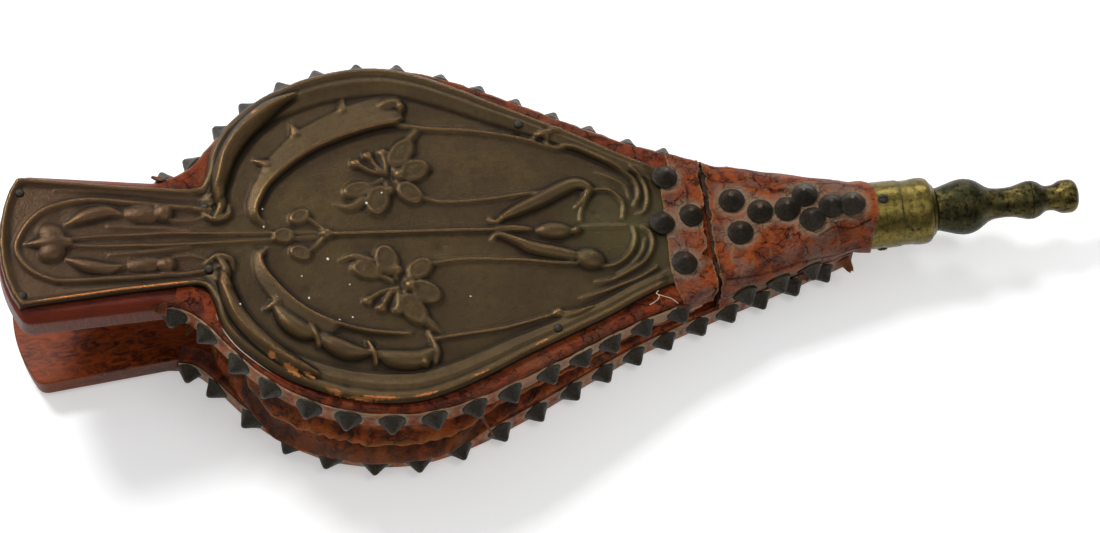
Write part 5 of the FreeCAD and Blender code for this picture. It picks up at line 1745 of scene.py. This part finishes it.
def white_flecks():
    flecks = Parts()
    angle = np.linspace(0, 2 * math.pi, 12, endpoint=False)
    for i, (x, y) in enumerate(to_plate(FLECKS)):
        random = np.random.RandomState(i + 70)
        size = random.uniform(0.42, 0.75)
        narrow = random.uniform(0.5, 1.0)
        turn = random.uniform(0, 3)
        rings = []
        for share, rise in ((1.0, -0.05), (0.9, 0.12), (0.55, 0.24), (0.05, 0.28)):
            radius = size * share * (1 + 0.3 * noise1(angle * 1.3 + i, i + 3))
            off_x, off_y = radius * np.cos(angle), radius * narrow * np.sin(angle)
            rings.append(tilted(np.stack([
                x + off_x * math.cos(turn) - off_y * math.sin(turn),
                y + off_x * math.sin(turn) + off_y * math.cos(turn),
                copper_top(x, y) + rise + 0 * angle], -1)))
        flecks.add(np.array(rings), {"x": 0.0}, wrap=True, flip=True)
    flecks.build("flecks_white", FLECK, body="top")


def shred(parts, place, along, toward, width, length, curl, seed):
    """Small torn tongue of leather that starts along one direction and bends to another."""
    t = np.linspace(0, 1, 18)[:, None]
    across = np.linspace(-1, 1, 9)[None, :]
    along = np.asarray(along, float) / np.linalg.norm(along)
    toward = np.asarray(toward, float) / np.linalg.norm(toward)
    widths = width * (1 - 0.75 * t ** 1.4) * (1 + 0.25 * noise1(t * 5 + seed, seed))
    front = (np.asarray(place)[None, None, :]
             + (length * np.sin(t * curl) / curl)[..., None] * along
             + (length * (1 - np.cos(t * curl)) / curl)[..., None] * toward
             + (across * widths)[..., None] * np.cross(along, toward)
             + (0.25 * across ** 2 * width)[..., None] * toward)
    back = front - 0.7 * (np.cos(t * curl)[..., None] * toward
                          - np.sin(t * curl)[..., None] * along)
    edge = np.clip(np.abs(across) ** 4 + smooth(0.85, 1, t), 0, 1) * 0.7
    attrs = {"edge": edge, "halo": 0.0, "crack_and_fold_shade": 0.0, "light": 0.5}
    parts.add(front, attrs)
    parts.add(back, attrs, flip=True)


# Columns: place, first direction, direction of the bend, half width, length, curl, seed.
NOSE_SHREDS = (
    ((82.0, -19.4, 22.0), (0.55, -0.15, -1), (0.2, -1, 0.1), 3.4, 7.5, 1.1, 1),
    ((60.0, -25.6, 20.5), (0.9, 0.3, -0.6), (0, -1, 0.2), 2.0, 6.0, 1.1, 2))
TOP_SHREDS = (      # places in the top board's frame
    ((-100.0, -86.5, -3.0), (0.45, -0.75, -0.55), (0.3, -0.2, -1), 1.4, 12.0, 0.7, 3),
    ((-3.0, -42.6, 9.5), (1, 0.2, 0.3), (0, -1, 0.1), 1.6, 6.0, 1.0, 5),
    ((-238.5, -33.8, 8.5), (-1, 0.1, 0.1), (0, -0.6, 0.8), 3.2, 6.5, 0.8, 6),
    ((-237.5, 33.8, 8.5), (-1, -0.1, 0.1), (0, 0.6, 0.8), 2.6, 5.0, 0.8, 7))
# Shreds hanging by the waist: x, y, z, length, half width.
WAIST_SHREDS = table("""-233.5 -34.6 4.5 5.0 2.4,  -227.0 -36.6 -2.0 6.0 2.2
-214.0 -50.0 -2.5 6.0 2.0,  -231.0 35.0 4.0 4.0 2.0""", 5)


def torn_shreds():
    nose, top = Parts(), Parts()
    for row in NOSE_SHREDS:
        shred(nose, *row)
    for place, *rest in TOP_SHREDS:
        shred(top, tilted(place), *rest)
    draw = np.random.RandomState(77).uniform
    for i in range(9):          # ragged edges facing each other across the hinge
        y = -24 + 5.6 * i + draw(-1.5, 1.5)
        if i % 2:
            shred(nose, (20.4 + draw(-0.3, 0.6), y, 34.6 + draw(-0.2, 0.5)),
                  (-1, draw(-0.7, 0.7), draw(0.0, 0.35)), (0.2, 0, 1), width=draw(0.7, 1.5),
                  length=draw(1.8, 3.4), curl=draw(0.5, 1.5), seed=20 + i)
        else:
            shred(top, tilted((14.6 + draw(-0.4, 0.4), y, 12.7 + draw(0, 0.4))),
                  (1, draw(-0.7, 0.7), draw(0.0, 0.4)), (-0.2, 0, 1), width=draw(0.6, 1.3),
                  length=draw(0.6, 1.1), curl=draw(0.5, 1.0), seed=20 + i)
    for i, (x, y, z, length, width) in enumerate(WAIST_SHREDS):
        along = (-0.7 if x < -225 else 0.3, math.copysign(0.5, y), -0.5)
        shred(top, tilted((x, y, z)), along, (0.1, math.copysign(0.7, y), 0.6), width, length,
              curl=1.1, seed=50 + i)
    nose.build("shreds_nose", LEATHER, body="base", slot="leather")
    top.build("shreds_top", LEATHER, body="top", slot="leather")


loose_threads()
white_flecks()
torn_shreds()

# ----------------------------------------------------------------- CAD pieces kept
for node_name, kept_material, slot_name in (
        ("nose_block", NOSE_WOOD, "board_wood"), ("valve_flap", GUSSET, "gusset"),
        ("valve_clapper", INNER_WOOD, "board_wood"), ("valve_batten", INNER_WOOD, "board_wood"),
        ("valve_tacks", IRON, "stud_iron")):
    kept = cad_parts[node_name]
    kept.data.materials.clear()
    kept.data.materials.append(kept_material)


# ---------------------------------------------------------- floor, world, lights, camera
def floor():
    mat = Shader("pale_floor")
    tone = mat.step(mat.noise(0.004, detail=3, rough=0.5), 0.3, 0.7)
    color = mat.mix(tone, (0.74, 0.74, 0.74), (0.78, 0.78, 0.775))
    bumps = mat.bump(mat.noise(0.8, detail=3, rough=0.55), distance=0.0001, strength=0.3)
    mat.finish(color, 0.75, bumps, specular=0.2)
    mat.surface.inputs["Emission Color"].default_value = (1, 1, 1, 1)
    mat.surface.inputs["Emission Strength"].default_value = 0.36
    bpy.ops.mesh.primitive_plane_add(size=12, location=(-0.05, 0, -0.0003))
    plane = bpy.context.active_object
    plane.name = "floor"
    plane.data.materials.append(mat.material)


def studio_world():
    """Light brighter towards one direction; the camera sees an even pale grey."""
    world = bpy.data.worlds.new("studio")
    bpy.context.scene.world = world
    world.use_nodes = True
    tree = world.node_tree
    tree.nodes.clear()
    view = add_node(tree, "TexCoord").outputs["Generated"]
    bright = Vector((-0.42, 0.68, 0.60)).normalized()
    facing = add_node(tree, "VectorMath", {0: view, 1: bright}, operation="DOT_PRODUCT")
    share = add_node(tree, "MapRange", {"Value": facing.outputs["Value"],
                                        "From Min": -1.0, "From Max": 1.0})
    ramp = add_node(tree, "ValToRGB", {0: share.outputs[0]})
    dim_end, bright_end = ramp.color_ramp.elements
    dim_end.position, dim_end.color = 0.25, (0.34, 0.34, 0.35, 1)
    bright_end.position, bright_end.color = 0.95, (1.0, 1.0, 1.0, 1)
    light = add_node(tree, "Background", {"Color": ramp.outputs[0], "Strength": 0.62})
    backdrop = add_node(tree, "Background", {"Color": (0.97, 0.97, 0.97), "Strength": 1.0})
    camera_ray = add_node(tree, "LightPath").outputs["Is Camera Ray"]
    mixed = add_node(tree, "MixShader", {0: camera_ray, 1: light.outputs[0],
                                         2: backdrop.outputs[0]})
    add_node(tree, "OutputWorld", {0: mixed.outputs[0]})


def area_light(name, place, target, size, watts):
    """Metres; size is width and height."""
    light = bpy.data.lights.new(name, "AREA")
    light.shape = "RECTANGLE"
    light.size, light.size_y = size
    light.energy = watts
    thing = bpy.data.objects.new(name, light)
    bpy.context.scene.collection.objects.link(thing)
    thing.location = place
    thing.rotation_mode = "QUATERNION"
    thing.rotation_quaternion = (Vector(target) - Vector(place)).to_track_quat("-Z", "Y")


def camera():
    azimuth, drop, roll = (math.radians(angle) for angle in (7.36, 62, 0.74))
    target, distance = np.array([-58.25, -7.25, 33.0]), 1231.85
    ahead = np.array([math.sin(azimuth) * math.cos(drop), math.cos(azimuth) * math.cos(drop),
                      -math.sin(drop)])
    level = np.array([math.cos(azimuth), -math.sin(azimuth), 0])
    upward = np.cross(level, ahead)
    right = math.cos(roll) * level + math.sin(roll) * upward
    above = -math.sin(roll) * level + math.cos(roll) * upward
    data = bpy.data.cameras.new("camera")
    thing = bpy.data.objects.new("camera", data)
    bpy.context.scene.collection.objects.link(thing)
    data.sensor_fit = "HORIZONTAL"
    data.sensor_width = 36.0
    data.lens = 85.38774545
    data.shift_x = 0.0016
    data.shift_y = -0.0103727273
    data.clip_start, data.clip_end = 0.05, 50
    matrix = np.eye(4)
    matrix[:3] = np.column_stack([right, above, -ahead, (target - ahead * distance) * MM])
    thing.matrix_world = Matrix(matrix.tolist())
    bpy.context.scene.camera = thing


floor()
studio_world()
area_light("key_soft", place=(-0.72, 0.80, 1.10), target=(-0.08, 0, 0.03), size=(0.34, 0.26),
           watts=15.0)
area_light("rim_far", place=(0.35, 1.2, 0.75), target=(-0.05, 0, 0.02), size=(0.5, 0.2),
           watts=4.5)
area_light("fill_top", place=(0.5, -0.3, 1.5), target=(-0.05, 0, 0.0), size=(0.6, 0.6),
           watts=4.0)
camera()
bpy.context.scene.view_settings.view_transform = "Standard"
